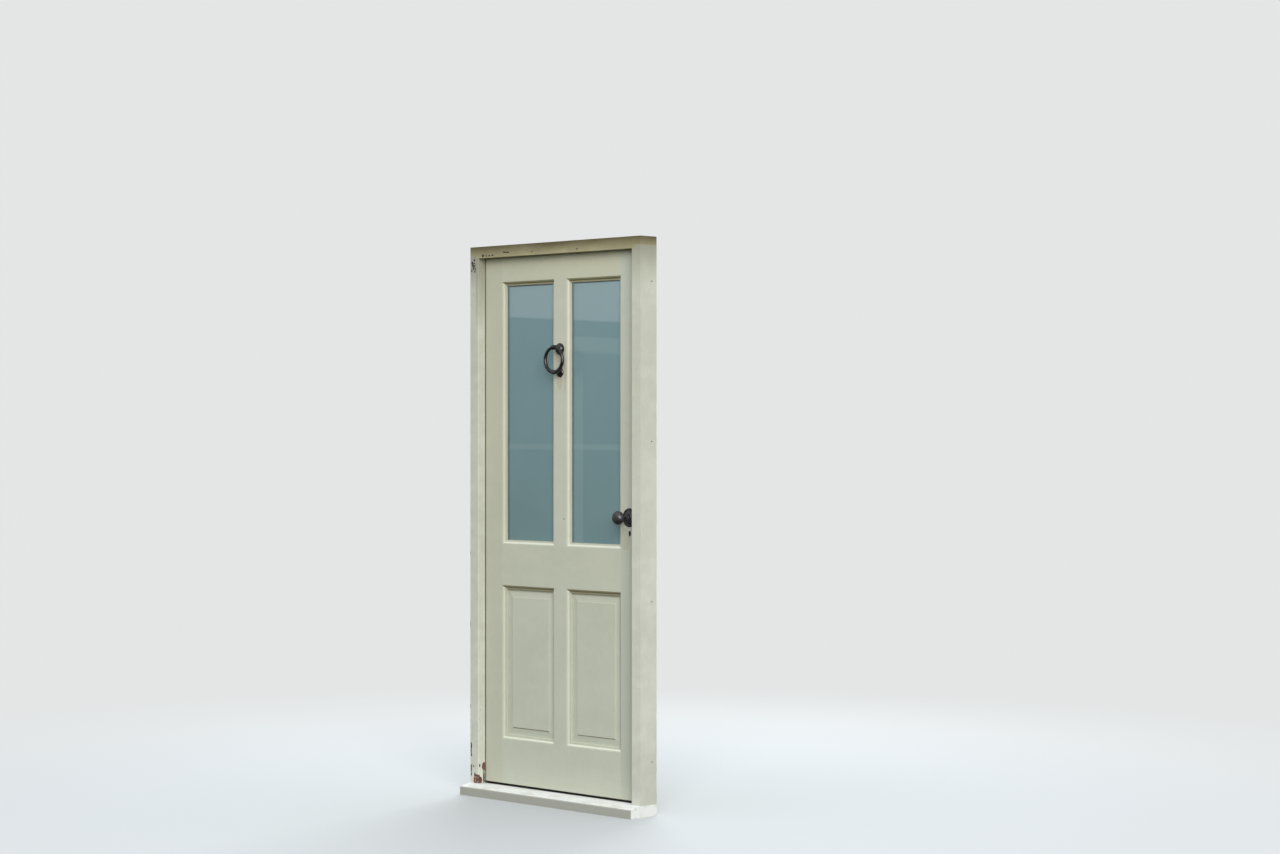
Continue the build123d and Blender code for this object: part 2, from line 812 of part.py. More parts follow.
def latch_body():
    """The latch bolt, drawn back: a bevelled head and a stem notched for the follower's arm."""
    tip = half_leaf - bolt_fit
    front = mid_thickness - latch_head_thickness / 2
    back = mid_thickness + latch_head_thickness / 2
    points = [
        (tip, back),
        (tip, back - latch_nose),
        (tip - latch_travel + bolt_fit, front),
        (latch_back, front),
        (latch_back, back),
    ]
    head = extrude(make_face(Polyline(*points, close=True)), amount=latch_head_height)
    head = Pos(0, 0, latch_z[0]) * head
    half = latch_stem_thickness / 2
    stem_low = follower_z + latch_stem_bottom
    stem_z = (stem_low, stem_low + latch_stem_height)
    stem_y = (mid_thickness - half, mid_thickness + half)
    head += block((latch_back - latch_stem_length, latch_back), stem_y, stem_z)
    notch_x = follower_x - latch_travel / 2
    notch_half = tip_radius + tip_play
    notch_top = follower_z + arm_reach + tip_radius + tip_play
    return head - block((notch_x - notch_half, notch_x + notch_half), stem_y, (stem_low, notch_top))


def spring_coil():
    """The latch's compression spring, between the case's lug and the latch head."""
    length = latch_back - spring_lug_x - spring_wire
    start = Plane(origin=(spring_lug_x + spring_wire / 2, mid_thickness, spring_z), z_dir=(1, 0, 0))
    reach = spring_radius - spring_wire / 2
    path = start * Helix(length / spring_turns, length, reach)
    wire = Plane(origin=path @ 0, z_dir=path % 0) * RegularPolygon(spring_wire / 2, 6)
    return sweep(wire, path=path, is_frenet=True)


stump_x = follower_x + stump_from_follower
stump_z = bolt_tail_mid + stump_rise
bolt_back = half_leaf - bolt_fit - bolt_head_length
tail_y = (inner_y[0] + bolt_fit, inner_y[0] + bolt_fit + bolt_tail_thickness)


def deadbolt_body():
    """The dead bolt, withdrawn: a solid head and a tail with a guide slot, a talon and a stump."""
    head = around_bolt(bolt_z, 0, (bolt_back, half_leaf - bolt_fit), latch_head_thickness)
    tail_z = (bolt_tail_low, bolt_tail_low + bolt_tail_height)
    head += block((bolt_back - bolt_tail_length, bolt_back), tail_y, tail_z)
    slot_half = post_radius + post_play
    slot_x = (guide_post_x - bolt_travel, guide_post_x)
    slot = block(slot_x, tail_y, (bolt_tail_mid - slot_half, bolt_tail_mid + slot_half))
    for x in slot_x:
        slot += rod((x, tail_y[0], bolt_tail_mid), (0, 1, 0), slot_half, bolt_tail_thickness)
    head -= slot
    talon_x = (follower_x - talon_width, follower_x)
    head -= block(talon_x, tail_y, (bolt_tail_low, bolt_z[0] + talon_depth))
    stump_length = lever_count * (lever_thickness + lever_spacing)
    return head + rod((stump_x, tail_y[1], stump_z), (0, 1, 0), stump_radius, stump_length)


def lock_lever_pack():
    """The levers on their post, lifted so that their gates are in line with the stump."""
    low = stump_z - lever_height / 2
    gate = stump_radius + stump_play
    end = stump_x + bolt_travel + gate + lever_end_wall
    levers = []
    for number in range(lever_count):
        y = tail_y[1] + lever_spacing + number * (lever_thickness + lever_spacing)
        span = (y, y + lever_thickness)
        lever = block((lever_post_x, end), span, (low, low + lever_height))
        lever += rod((lever_post_x, y, lever_post_z), (0, 1, 0), lever_boss_radius, lever_thickness)
        bore = post_radius + lever_post_play
        lever -= rod((lever_post_x, y, lever_post_z), (0, 1, 0), bore, lever_thickness)
        lever -= block((stump_x - gate, stump_x + bolt_travel + gate), span, (stump_z - gate, stump_z + gate))
        guide_half = post_radius + post_play + lever_guide_gap
        guide_x = (guide_post_x - guide_half, guide_post_x + guide_half)
        lever -= block(guide_x, span, (low, bolt_tail_mid + guide_half))
        levers.append(lever)
    return Compound(levers)


# Strike plate and its keeps in the lock jamb

strike_face = rebate_wall
strike_z = (bolt_z[0] - strike_end_margin, latch_z[1] + strike_end_margin)
keep_tip = half_leaf + max(latch_travel, bolt_travel) + keep_depth_play
keeps = [
    around_bolt(latch_z, keep_play, (strike_face - 1, keep_tip), latch_head_thickness),
    around_bolt(bolt_z, keep_play, (strike_face - 1, keep_tip), latch_head_thickness),
]


def strike_screws(clearance=0.0):
    """The two screws of the strike plate."""
    shape = (lock_screw_head, lock_screw_shank, lock_screw_length, clearance, clearance == 0)
    levels = (strike_z[0] + strike_end_margin / 2, strike_z[1] - strike_end_margin / 2)
    return [sunk_screw((strike_face, mid_thickness, z), (1, 0, 0), *shape) for z in levels]


def strike_plate_body():
    """The strike plate, let in flush, with its lip past the jamb's inner face."""
    thick = (strike_face, strike_face + strike_thickness)
    plate = block(thick, (strike_outer_margin, leaf_thickness), strike_z)
    plate += block(thick, (leaf_thickness, leaf_thickness + strike_lip), (latch_z[0], latch_z[1]))
    return cut_all(plate, keeps + strike_screws(screw_clearance))


strike_recess = block(
    (strike_face - 1, strike_face + strike_thickness), (strike_outer_margin, leaf_thickness + 1), strike_z
)
jamb_lock_side = cut_all(jamb_lock_side - strike_recess, keeps + strike_screws(screw_clearance))

# Knobs, roses and keyhole plate

def rose(y, outward):
    """A stepped and domed rose with a bore for the knob's neck."""
    bore = neck_radius + neck_play
    rim = rose_radius - rose_rim_width
    land = rim - rose_land_width
    rounding = (rose_radius - rose_rim_round, rose_rim_height - rose_rim_round_drop)
    dome_end = (rose_crown_radius + rose_crown_lip, rose_crown_height - rose_crown_lip)
    dome_radius = (land + dome_end[0]) / 2 + rose_dome_fullness
    dome_middle = (dome_radius, (rose_land_height + dome_end[1]) / 2 + rose_dome_fullness)
    rim_top = rim + rose_rim_top_width
    edges = [
        Line((bore, 0), (rose_radius, 0)),
        Line((rose_radius, 0), (rose_radius, rose_rim_height / 2)),
        ThreePointArc((rose_radius, rose_rim_height / 2), rounding, (rim_top, rose_rim_height)),
        Line((rim_top, rose_rim_height), (rim, rose_land_height)),
        Line((rim, rose_land_height), (land, rose_land_height)),
        ThreePointArc((land, rose_land_height), dome_middle, dome_end),
        Line(dome_end, (rose_crown_radius, rose_crown_height)),
        Line((rose_crown_radius, rose_crown_height), (bore, rose_crown_height)),
        Line((bore, rose_crown_height), (bore, 0)),
    ]
    body = turned((follower_x, y, follower_z), outward, edges)
    return cut_all(body, rose_screws(y, outward, screw_clearance))


def rose_screws(y, outward, clearance=0.0):
    """Screws evenly round a rose, just inside its rim."""
    screws = []
    shape = (small_screw_head, small_screw_shank, small_screw_length, clearance, clearance == 0)
    face = y + outward * rose_land_height
    circle = rose_radius - rose_rim_width - rose_land_width / 2
    for number in range(rose_screw_count):
        angle = math.radians(90 + 360 * number / rose_screw_count)
        x = follower_x + circle * math.cos(angle)
        z = follower_z + circle * math.sin(angle)
        screws.append(sunk_screw((x, face, z), (0, -outward, 0), *shape))
    return screws


def knob(y, outward):
    """A ball knob with its collared neck, bored square for the spindle."""
    spread = knob_radius - knob_side_radius
    flat = (spread**2 + knob_half_depth**2 - knob_side_radius**2) / 2 / (knob_half_depth - knob_side_radius)
    offset = flat - knob_half_depth
    centre = knob_centre_from_leaf
    steep = math.atan2(offset, spread)
    half_way = (steep + math.pi / 2) / 2
    back_mid_x = (flat * math.cos(steep) + neck_radius) / 2
    back = (back_mid_x, centre + offset - math.sqrt(flat**2 - back_mid_x**2))
    foot = (neck_radius, centre + offset - math.sqrt(flat**2 - neck_radius**2))
    join_back = (flat * math.cos(steep), centre + offset - flat * math.sin(steep))
    join_front = (join_back[0], centre - offset + flat * math.sin(steep))
    brow = (flat * math.cos(half_way), centre - offset + flat * math.sin(half_way))
    tip = (0, centre + knob_half_depth)
    ball = [
        ThreePointArc(foot, back, join_back),
        ThreePointArc(join_back, (knob_radius, centre), join_front),
        ThreePointArc(join_front, brow, tip),
    ]
    collar_low = (neck_radius, neck_collar_from_leaf)
    collar_high = (neck_radius, neck_collar_from_leaf + neck_collar_height)
    collar_edge = (neck_collar_radius, neck_collar_from_leaf + neck_collar_height / 2)
    hollow = (neck_radius - neck_waist, (collar_high[1] + foot[1]) / 2)
    neck = [
        Line((0, neck_start), (neck_radius, neck_start)),
        Line((neck_radius, neck_start), collar_low),
        ThreePointArc(collar_low, collar_edge, collar_high),
        ThreePointArc(collar_high, hollow, foot),
        Line(tip, (0, neck_start)),
    ]
    edges = neck + ball
    body = turned((follower_x, y, follower_z), outward, edges)
    grub_start = (follower_x, y + outward * grub_screw_from_leaf, follower_z - neck_radius - 1)
    grub = rod(grub_start, (0, 0, 1), grub_screw_radius, neck_radius)
    return body - grub - spindle_bar(spindle_play)


spindle_end = knob_centre_from_leaf - spindle_cover


def spindle_bar(clearance=0.0):
    """The square spindle between the knobs."""
    side = spindle_size / 2 + clearance
    depth = (-spindle_end - clearance, leaf_thickness + spindle_end + clearance)
    return block((follower_x - side, follower_x + side), depth, (follower_z - side, follower_z + side))


def grub_screws():
    """The screws in the necks that hold the knobs to the spindle."""
    screws = []
    for y in (-grub_screw_from_leaf, leaf_thickness + grub_screw_from_leaf):
        start = (follower_x, y, follower_z - spindle_size / 2 - grub_screw_length)
        screws.append(rod(start, (0, 0, 1), grub_screw_radius, grub_screw_length))
    return Compound(screws)


def inner_key_plate():
    """A round plate over the keyhole on the inside."""
    low = key_plate_thickness - key_plate_edge_drop
    top_radius = key_plate_radius - key_plate_edge_width
    edges = [
        Line((0, 0), (key_plate_radius, 0)),
        Line((key_plate_radius, 0), (key_plate_radius, low)),
        Line((key_plate_radius, low), (top_radius, key_plate_thickness)),
        Line((top_radius, key_plate_thickness), (0, key_plate_thickness)),
        Line((0, key_plate_thickness), (0, 0)),
    ]
    plate = turned((follower_x, leaf_thickness, keyhole_z), 1, edges)
    plate -= keyhole((leaf_thickness - 1, leaf_thickness + key_plate_thickness + 1))
    return cut_all(plate, key_plate_screws(screw_clearance))


def key_plate_screws(clearance=0.0):
    """Two screws beside the keyhole of the inner plate."""
    shape = (small_screw_head, small_screw_shank, small_screw_length, clearance, clearance == 0)
    face = leaf_thickness + key_plate_thickness
    reach = key_plate_radius - key_plate_screw_margin
    return [sunk_screw((follower_x + x, face, keyhole_z), (0, -1, 0), *shape) for x in (-reach, reach)]


outer_rose_screws = rose_screws(0, -1)
inner_rose_screws = rose_screws(leaf_thickness, 1)
case_mortice = block(
    (case_back - case_fit, half_leaf),
    (case_front_y - case_fit, case_back_y + case_fit),
    (case_low - case_fit, case_high + case_fit),
)
forend_recess = block((forend_back, half_leaf + 1), forend_y, forend_z)
spindle_bore = rod((follower_x, -1, follower_z), (0, 1, 0), spindle_hole_radius, leaf_thickness + 2)
stile_lock = stile_lock - case_mortice - forend_recess - spindle_bore - keyhole((-1, leaf_thickness + 1))
stile_lock_holes = (
    forend_screws(screw_clearance)
    + rose_screws(0, -1, screw_clearance)
    + rose_screws(leaf_thickness, 1, screw_clearance)
    + key_plate_screws(screw_clearance)
)
stile_lock = cut_all(stile_lock, stile_lock_holes)


# Ring knocker on the muntin

boss_z = leaf_bottom + boss_height
ring_pin_z = boss_z + ring_pin_above_boss
ring_y = -ring_plane_from_leaf
ring_radius = ring_outer_radius - (ring_top_section + ring_bottom_section) / 2
ring_centre_z = ring_pin_z - ring_radius
ring_foot_z = ring_centre_z - ring_radius
collar_start = lug_length / 2 + collar_gap
strike_top = strike_boss_height


def knocker_boss_body():
    """The domed boss with the lug that the ring hangs from and the shank through the door."""
    dome_radius = boss_radius - boss_step
    brow = (dome_radius * boss_brow_out, boss_dome * boss_brow_up)
    edges = [
        Line((0, 0), (boss_radius, 0)),
        Line((boss_radius, 0), (boss_radius, boss_flange)),
        Line((boss_radius, boss_flange), (dome_radius, boss_flange)),
        ThreePointArc((dome_radius, boss_flange), brow, (0, boss_dome)),
        Line((0, boss_dome), (0, 0)),
    ]
    boss = turned((0, 0, boss_z), -1, edges)
    reach = ring_plane_from_leaf - boss_flange
    boss += rod((0, -boss_flange, ring_pin_z), (0, -1, 0), lug_neck_radius, reach)
    boss += rod((-lug_length / 2, ring_y, ring_pin_z), (1, 0, 0), lug_radius, lug_length)
    bore = ring_pin_radius + ring_pin_clearance
    boss -= rod((-lug_length, ring_y, ring_pin_z), (1, 0, 0), bore, 2 * lug_length)
    length = leaf_thickness + nut_flange_height + nut_height - shank_short_of_nut
    return boss + rod((0, -1, boss_z), (0, 1, 0), shank_radius, length + 1)


def ring_half(side):
    """Half of the ring, swelling from the hinge to its foot."""
    first = math.asin((collar_start + collar_length / 2 + ring_start_cover) / ring_radius)
    sections = []
    for number in range(ring_sections):
        share = number / (ring_sections - 1)
        angle = first + (math.pi - first) * share
        radius = ring_top_section + (ring_bottom_section - ring_top_section) * share
        x = side * ring_radius * math.sin(angle)
        z = ring_centre_z + ring_radius * math.cos(angle)
        along = (side * math.cos(angle), 0, -math.sin(angle))
        sections.append(Plane(origin=(x, ring_y, z), x_dir=(0, 1, 0), z_dir=along) * Circle(radius))
    return loft(sections)


def knocker_ring_body():
    """The ring with its hinge pin, collars and striker."""
    ring = ring_half(1) + ring_half(-1)
    pin_half = collar_start + ring_pin_into_collar
    ring += rod((-pin_half, ring_y, ring_pin_z), (1, 0, 0), ring_pin_radius, 2 * pin_half)
    for side in (-1, 1):
        ring += rod((side * collar_start, ring_y, ring_pin_z), (side, 0, 0), collar_radius, collar_length)
    ring += Pos(0, ring_y, ring_foot_z) * Sphere(ring_foot_ball_radius)
    reach = ring_plane_from_leaf - strike_top - striker_gap
    return ring + rod((0, ring_y, ring_foot_z), (0, 1, 0), striker_radius, reach)


def knocker_strike_body():
    """The domed plate under the ring's foot, with the spike that holds it."""
    edge = (strike_boss_radius, strike_edge_height)
    brow = (strike_boss_radius * strike_brow_out, strike_boss_height * strike_brow_up)
    edges = [
        Line((0, 0), (strike_boss_radius, 0)),
        Line((strike_boss_radius, 0), edge),
        ThreePointArc(edge, brow, (strike_face_radius, strike_top)),
        Line((strike_face_radius, strike_top), (0, strike_top)),
        Line((0, strike_top), (0, 0)),
    ]
    strike = turned((0, 0, ring_foot_z), -1, edges)
    return strike + rod((0, -1, ring_foot_z), (0, 1, 0), strike_spike_radius, strike_spike_length)


def knocker_nut_body():
    """The flanged nut on the inside that holds the boss."""
    nut = rod((0, leaf_thickness, boss_z), (0, 1, 0), nut_flange_radius, nut_flange_height)
    hexagon = extrude(RegularPolygon(nut_radius, 6), amount=nut_height)
    nut += Plane(origin=(0, leaf_thickness + nut_flange_height, boss_z), z_dir=(0, 1, 0)) * hexagon
    return nut - rod((0, leaf_thickness - 1, boss_z), (0, 1, 0), shank_radius, nut_height + nut_flange_height)


muntin_upper -= rod((0, -1, boss_z), (0, 1, 0), shank_radius + shank_clearance, leaf_thickness + 2)
muntin_upper -= rod((0, -1, ring_foot_z), (0, 1, 0), strike_spike_radius, strike_spike_length)


parts = {
    "jamb_hinge_side": jamb_hinge_side,
    "jamb_lock_side": jamb_lock_side,
    "frame_head": frame_head,
    "stop_hinge_side": jamb_stop(-1),
    "stop_lock_side": jamb_stop(1),
    "stop_head": stop_head,
    "threshold": stone_threshold(),
    "foot_dowels": Compound([foot_dowel(-1), foot_dowel(1)]),
    "strike_plate": strike_plate_body(),
    "strike_screws": Compound(strike_screws()),
    "stile_hinge_side": stile_hinge,
    "stile_lock_side": stile_lock,
    "top_rail": top_rail,
    "lock_rail": lock_rail,
    "bottom_rail": bottom_rail,
    "muntin_upper": muntin_upper,
    "muntin_lower": muntin_lower,
    "pane_left": pane(left_x),
    "pane_right": pane(right_x),
    "glazing_beads_left": glazing_beads(left_x),
    "glazing_beads_right": glazing_beads(right_x),
    "panel_left": raised_panel(left_x),
    "panel_right": raised_panel(right_x),
    "lock_case": lock_case_body(),
    "lock_cover": lock_cover_plate(),
    "lock_forend": lock_forend_plate(),
    "forend_screws": Compound(forend_screws()),
    "lock_levers": lock_lever_pack(),
    "latch_spring": spring_coil(),
    "rose_outer": rose(0, -1),
    "rose_inner": rose(leaf_thickness, 1),
    "rose_screws": Compound(outer_rose_screws + inner_rose_screws),
    "keyhole_plate_inner": inner_key_plate(),
    "keyhole_plate_screws": Compound(key_plate_screws()),
    "knocker_boss": knocker_boss_body(),
    "knocker_nut": knocker_nut_body(),
    "knocker_strike": knocker_strike_body(),
    "knocker_ring": knocker_ring_body(),
    "knob_outer": knob(0, -1),
    "knob_inner": knob(leaf_thickness, 1),
    "knob_spindle": spindle_bar(),
    "knob_grub_screws": grub_screws(),
    "lock_follower": lock_follower(),
    "latch_bolt": latch_body(),
    "deadbolt": deadbolt_body(),
}
frame_hinge_screws = []
leaf_hinge_screws = []
for place, level in hinge_levels.items():
    parts[f"hinge_plate_frame_{place}"] = hinge_plate(-1, level)
    parts[f"hinge_plate_leaf_{place}"] = hinge_plate(1, level)
    parts[f"hinge_pin_{place}"] = hinge_pin(level)
    frame_hinge_screws += hinge_screws(-1, level)
    leaf_hinge_screws += hinge_screws(1, level)
parts["hinge_screws_frame"] = Compound(frame_hinge_screws)
parts["hinge_screws_leaf"] = Compound(leaf_hinge_screws)

os.makedirs("parts", exist_ok=True)
for name, shape in parts.items():
    export_step(shape, f"parts/{name}.step")
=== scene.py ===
"""Looks of a cottage front door in its frame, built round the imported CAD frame.

Half-glazed softwood door with raised and fielded panels, painted in a grey sage,
with black ironwork and a pale stone threshold. Lengths are in metres and the
helper MM turns millimetres into them. X runs along the door, Y into the building
and Z up, with the origin under the middle of the threshold.
"""

import logging
import math
import random
from dataclasses import dataclass, replace
from enum import Enum
from functools import reduce

import bmesh
import bpy
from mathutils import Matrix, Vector


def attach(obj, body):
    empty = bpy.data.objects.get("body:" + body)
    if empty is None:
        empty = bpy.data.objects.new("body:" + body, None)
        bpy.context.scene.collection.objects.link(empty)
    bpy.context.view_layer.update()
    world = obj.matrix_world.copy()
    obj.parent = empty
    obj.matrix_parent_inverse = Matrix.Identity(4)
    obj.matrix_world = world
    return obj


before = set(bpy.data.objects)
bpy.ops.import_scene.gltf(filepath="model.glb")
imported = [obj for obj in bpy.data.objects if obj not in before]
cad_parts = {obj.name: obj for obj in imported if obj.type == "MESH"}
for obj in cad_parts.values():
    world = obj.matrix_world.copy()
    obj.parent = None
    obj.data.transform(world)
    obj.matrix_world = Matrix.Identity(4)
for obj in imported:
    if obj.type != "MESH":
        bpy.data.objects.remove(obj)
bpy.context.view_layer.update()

log = logging.getLogger("front_door")

MM = 0.001

Node = bpy.types.Node
Tree = bpy.types.NodeTree
Socket = bpy.types.NodeSocket
Material = bpy.types.Material
Outputs = bpy.types.NodeOutputs
Value = Socket | float
Tone = Socket | str
Span = tuple[float, float]
Point = tuple[float, float, float]
Links = dict[str | int, object]


class Body(Enum):
    """The moving bodies that the pieces ride on."""

    FRAME = "frame"
    LEAF = "leaf"


class Grain(Enum):
    """The way that a member's grain and brush strokes run."""

    UPRIGHT = "upright"
    LEVEL = "level"

    def stretch(self, times: float) -> Point:
        """Gives how many times longer a mark is along each axis."""
        return (1.0, 1.0, times) if self is Grain.UPRIGHT else (times, 1.0, 1.0)


class Wear(Enum):
    """What a worn place on the paint shows."""

    BARE_WOOD = "bare wood"
    DARK_CHIP = "dark chip"
    STAIN = "stain"
    CHECKED = "checked paint"


def hex_to_linear(code: str) -> tuple[float, float, float, float]:
    """Turns an sRGB hex colour into linear values.

    Args:
        code: The colour as "#rrggbb".

    Returns:
        Linear red, green, blue and an alpha of one.
    """
    parts = [int(code[i : i + 2], 16) / 255 for i in (1, 3, 5)]
    linear = [c / 12.92 if c <= 0.04045 else ((c + 0.055) / 1.055) ** 2.4 for c in parts]
    return (linear[0], linear[1], linear[2], 1.0)


def add_node(
    tree: Tree,
    kind: str,
    settings: dict[str, object] | None = None,
    links: Links | None = None,
) -> Node:
    """Adds a node to a tree with its settings, values and links.

    Args:
        tree: The node tree that gets the node.
        kind: The node's type name.
        settings: Values set on the node itself, by attribute name.
        links: For each input, by name or number, a socket to link or a value to set.

    Returns:
        The new node.
    """
    node = tree.nodes.new(kind)
    for name, value in (settings or {}).items():
        setattr(node, name, value)
    for key, value in (links or {}).items():
        socket = node.inputs[key]
        if isinstance(value, Socket):
            tree.links.new(value, socket)
        else:
            socket.default_value = value
    return node


@dataclass
class NodeWriter:
    """Writes shader nodes into one tree."""

    tree: Tree

    def add(self, kind: str, links: Links | None = None) -> Node:
        """Adds a node with its values and links, and returns it."""
        return add_node(self.tree, kind, {}, links)

    def out(self, kind: str, links: Links, **settings: object) -> Socket:
        """Adds a node with its links and settings, and returns its first socket."""
        return add_node(self.tree, kind, settings, links).outputs[0]

    def math(self, operation: str, *values: Value) -> Socket:
        """Adds one sum over values or sockets, and returns its socket."""
        return self.out("ShaderNodeMath", dict(enumerate(values)), operation=operation)

    def times(self, *values: Value) -> Value:
        """Multiplies all values and returns the product's socket."""
        return reduce(lambda so_far, value: self.math("MULTIPLY", so_far, value), values)

    def largest(self, *values: Value) -> Value:
        """Returns the socket with the largest of all values."""
        return reduce(lambda so_far, value: self.math("MAXIMUM", so_far, value), values)

    def length(self, vector: Socket) -> Socket:
        """Returns the socket with a vector's length."""
        node = add_node(self.tree, "ShaderNodeVectorMath", {"operation": "LENGTH"}, {0: vector})
        return node.outputs["Value"]

    def ramp(self, value: Socket, low: float, high: float) -> Socket:
        """Spreads a value smoothly between two limits over nought to one."""
        links = {"Value": value, "From Min": low, "From Max": high}
        return self.out("ShaderNodeMapRange", links, interpolation_type="SMOOTHSTEP")

    def ramp_mm(self, value: Socket, low: float, high: float) -> Socket:
        """The same ramp between two limits in millimetres."""
        return self.ramp(value, low * MM, high * MM)

    def spread(self, value: Socket, to: Span, start: float = 0.0, end: float = 1.0) -> Socket:
        """Spreads a value evenly from start and end over the two results in to."""
        links = {"Value": value, "From Min": start, "From Max": end, "To Min": to[0], "To Max": to[1]}
        return self.out("ShaderNodeMapRange", links)

    def mix(self, share: Value, first: Tone, second: Tone) -> Socket:
        """Mixes two colours, each a hex code or a socket.

        Args:
            share: How much of the second colour shows.
            first: The first colour.
            second: The second colour.

        Returns:
            The socket with the mixed colour.
        """
        a, b = (hex_to_linear(tone) if isinstance(tone, str) else tone for tone in (first, second))
        links = {0: share, 6: a, 7: b}
        return add_node(self.tree, "ShaderNodeMix", {"data_type": "RGBA"}, links).outputs[2]


@dataclass
class Shading(NodeWriter):
    """A material under construction, on the object's own coordinates, with its looks so far."""

    material: Material
    where: Outputs
    x: Socket
    y: Socket
    z: Socket
    colour: Socket | None = None
    relief: Socket | None = None
    rough: Value = 0.5

    @classmethod
    def start(cls, name: str) -> "Shading":
        """Starts an empty node material.

        Args:
            name: The material's name.

        Returns:
            The material with its coordinates ready.
        """
        material = bpy.data.materials.new(name)
        material.use_nodes = True
        tree = material.node_tree
        tree.nodes.clear()
        where = add_node(tree, "ShaderNodeTexCoord").outputs
        axes = add_node(tree, "ShaderNodeSeparateXYZ", {}, {0: where["Object"]}).outputs
        return cls(tree, material, where, axes["X"], axes["Y"], axes["Z"])

    def noise(
        self,
        size_mm: float,
        detail: float = 3.0,
        roughness: float = 0.5,
        stretch: Point = (1.0, 1.0, 1.0),
    ) -> Socket:
        """A noise whose lumps have a real size.

        Args:
            size_mm: The size of a lump in millimetres.
            detail: The noise's detail.
            roughness: The noise's roughness.
            stretch: How many times longer a lump is along each axis.

        Returns:
            The socket with the noise's value.
        """
        scale = [1.0 / (size_mm * MM * s) for s in stretch]
        moved = self.out("ShaderNodeMapping", {"Vector": self.where["Object"], "Scale": scale})
        links = {"Vector": moved, "Scale": 1.0, "Detail": detail, "Roughness": roughness}
        return self.out("ShaderNodeTexNoise", links)

    def lay(self, tone: Tone, *shares: Value) -> None:
        """Lays a tone over the colour so far, where the product of the shares says so."""
        self.colour = self.mix(self.times(*shares), self.colour, tone)

    def finish(self, strength: float, depth_mm: float, **values: float) -> None:
        """Ends the material with its relief and a principled surface.

        Args:
            strength: How strongly the relief shows.
            depth_mm: The relief's depth.
            values: Further values of the surface, with _ for each space in a name.
        """
        links = {"Strength": strength, "Distance": depth_mm * MM, "Height": self.relief}
        links = {
            "Base Color": self.colour,
            "Roughness": self.rough,
            "Normal": self.out("ShaderNodeBump", links),
            **{name.replace("_", " "): value for name, value in values.items()},
        }
        surface = self.out("ShaderNodeBsdfPrincipled", links)
        self.add("ShaderNodeOutputMaterial", {"Surface": surface})


@dataclass(frozen=True)
class Finish:
    """What all finishes share: a name, and the way to a material."""

    name: str

    def draw(self, make: Shading) -> None:
        """Draws the finish's own nodes into the material under construction."""
        raise NotImplementedError

    def build(self) -> Material:
        """Builds the material.

        Returns:
            The finished material.
        """
        make = Shading.start(self.name)
        self.draw(make)
        return make.material


@dataclass(frozen=True)
class Patch:
    """A worn place on the paint, as an ellipsoid with a ragged edge."""

    centre: Point
    half: Point
    ragged: float = 0.5
    wear: Wear = Wear.BARE_WOOD

    def mask(self, make: Shading, grit: Socket) -> Socket:
        """Gives the share of wear at each point.

        Args:
            make: The material under construction.
            grit: A noise that tears the patch's edge.

        Returns:
            The socket with the share.
        """
        links = {
            "Vector": make.where["Object"],
            "Location": [c * MM for c in self.centre],
            "Scale": [h * MM for h in self.half],
        }
        tear, soft = 2.4, 0.06
        moved = make.out("ShaderNodeMapping", links, vector_type="TEXTURE")
        torn = make.math("MULTIPLY_ADD", grit, -tear * self.ragged, make.length(moved))
        edge = 1.0 - tear / 2 * self.ragged
        return make.ramp(torn, edge + soft, edge - soft)


def patches(wear: Wear, rows: tuple[tuple[Point, Point, float], ...]) -> tuple[Patch, ...]:
    """Makes worn places of one kind from rows of middle, half sizes and raggedness."""
    return tuple(Patch(centre, half, ragged, wear) for centre, half, ragged in rows)


@dataclass(frozen=True)
class Ledge:
    """A strip under an edge of the joinery, on both sides of the middle, that gets painted shade with
    some dirt.
    """

    off_middle: Span
    height: Span
    fade_in: float = 0.8
    fade_out: float = 0.6

    def mask(self, make: Shading) -> Socket:
        """Gives the share of dirt at each point.

        Args:
            make: The material under construction.

        Returns:
            The socket with the share.
        """
        inside = []
        for place, (low, high) in (
            (make.math("ABSOLUTE", make.x), self.off_middle),
            (make.z, self.height),
        ):
            inside.append(make.ramp_mm(place, low - self.fade_in, low + self.fade_in))
            inside.append(make.ramp_mm(place, high + self.fade_out, high - self.fade_out))
        return make.times(*inside)


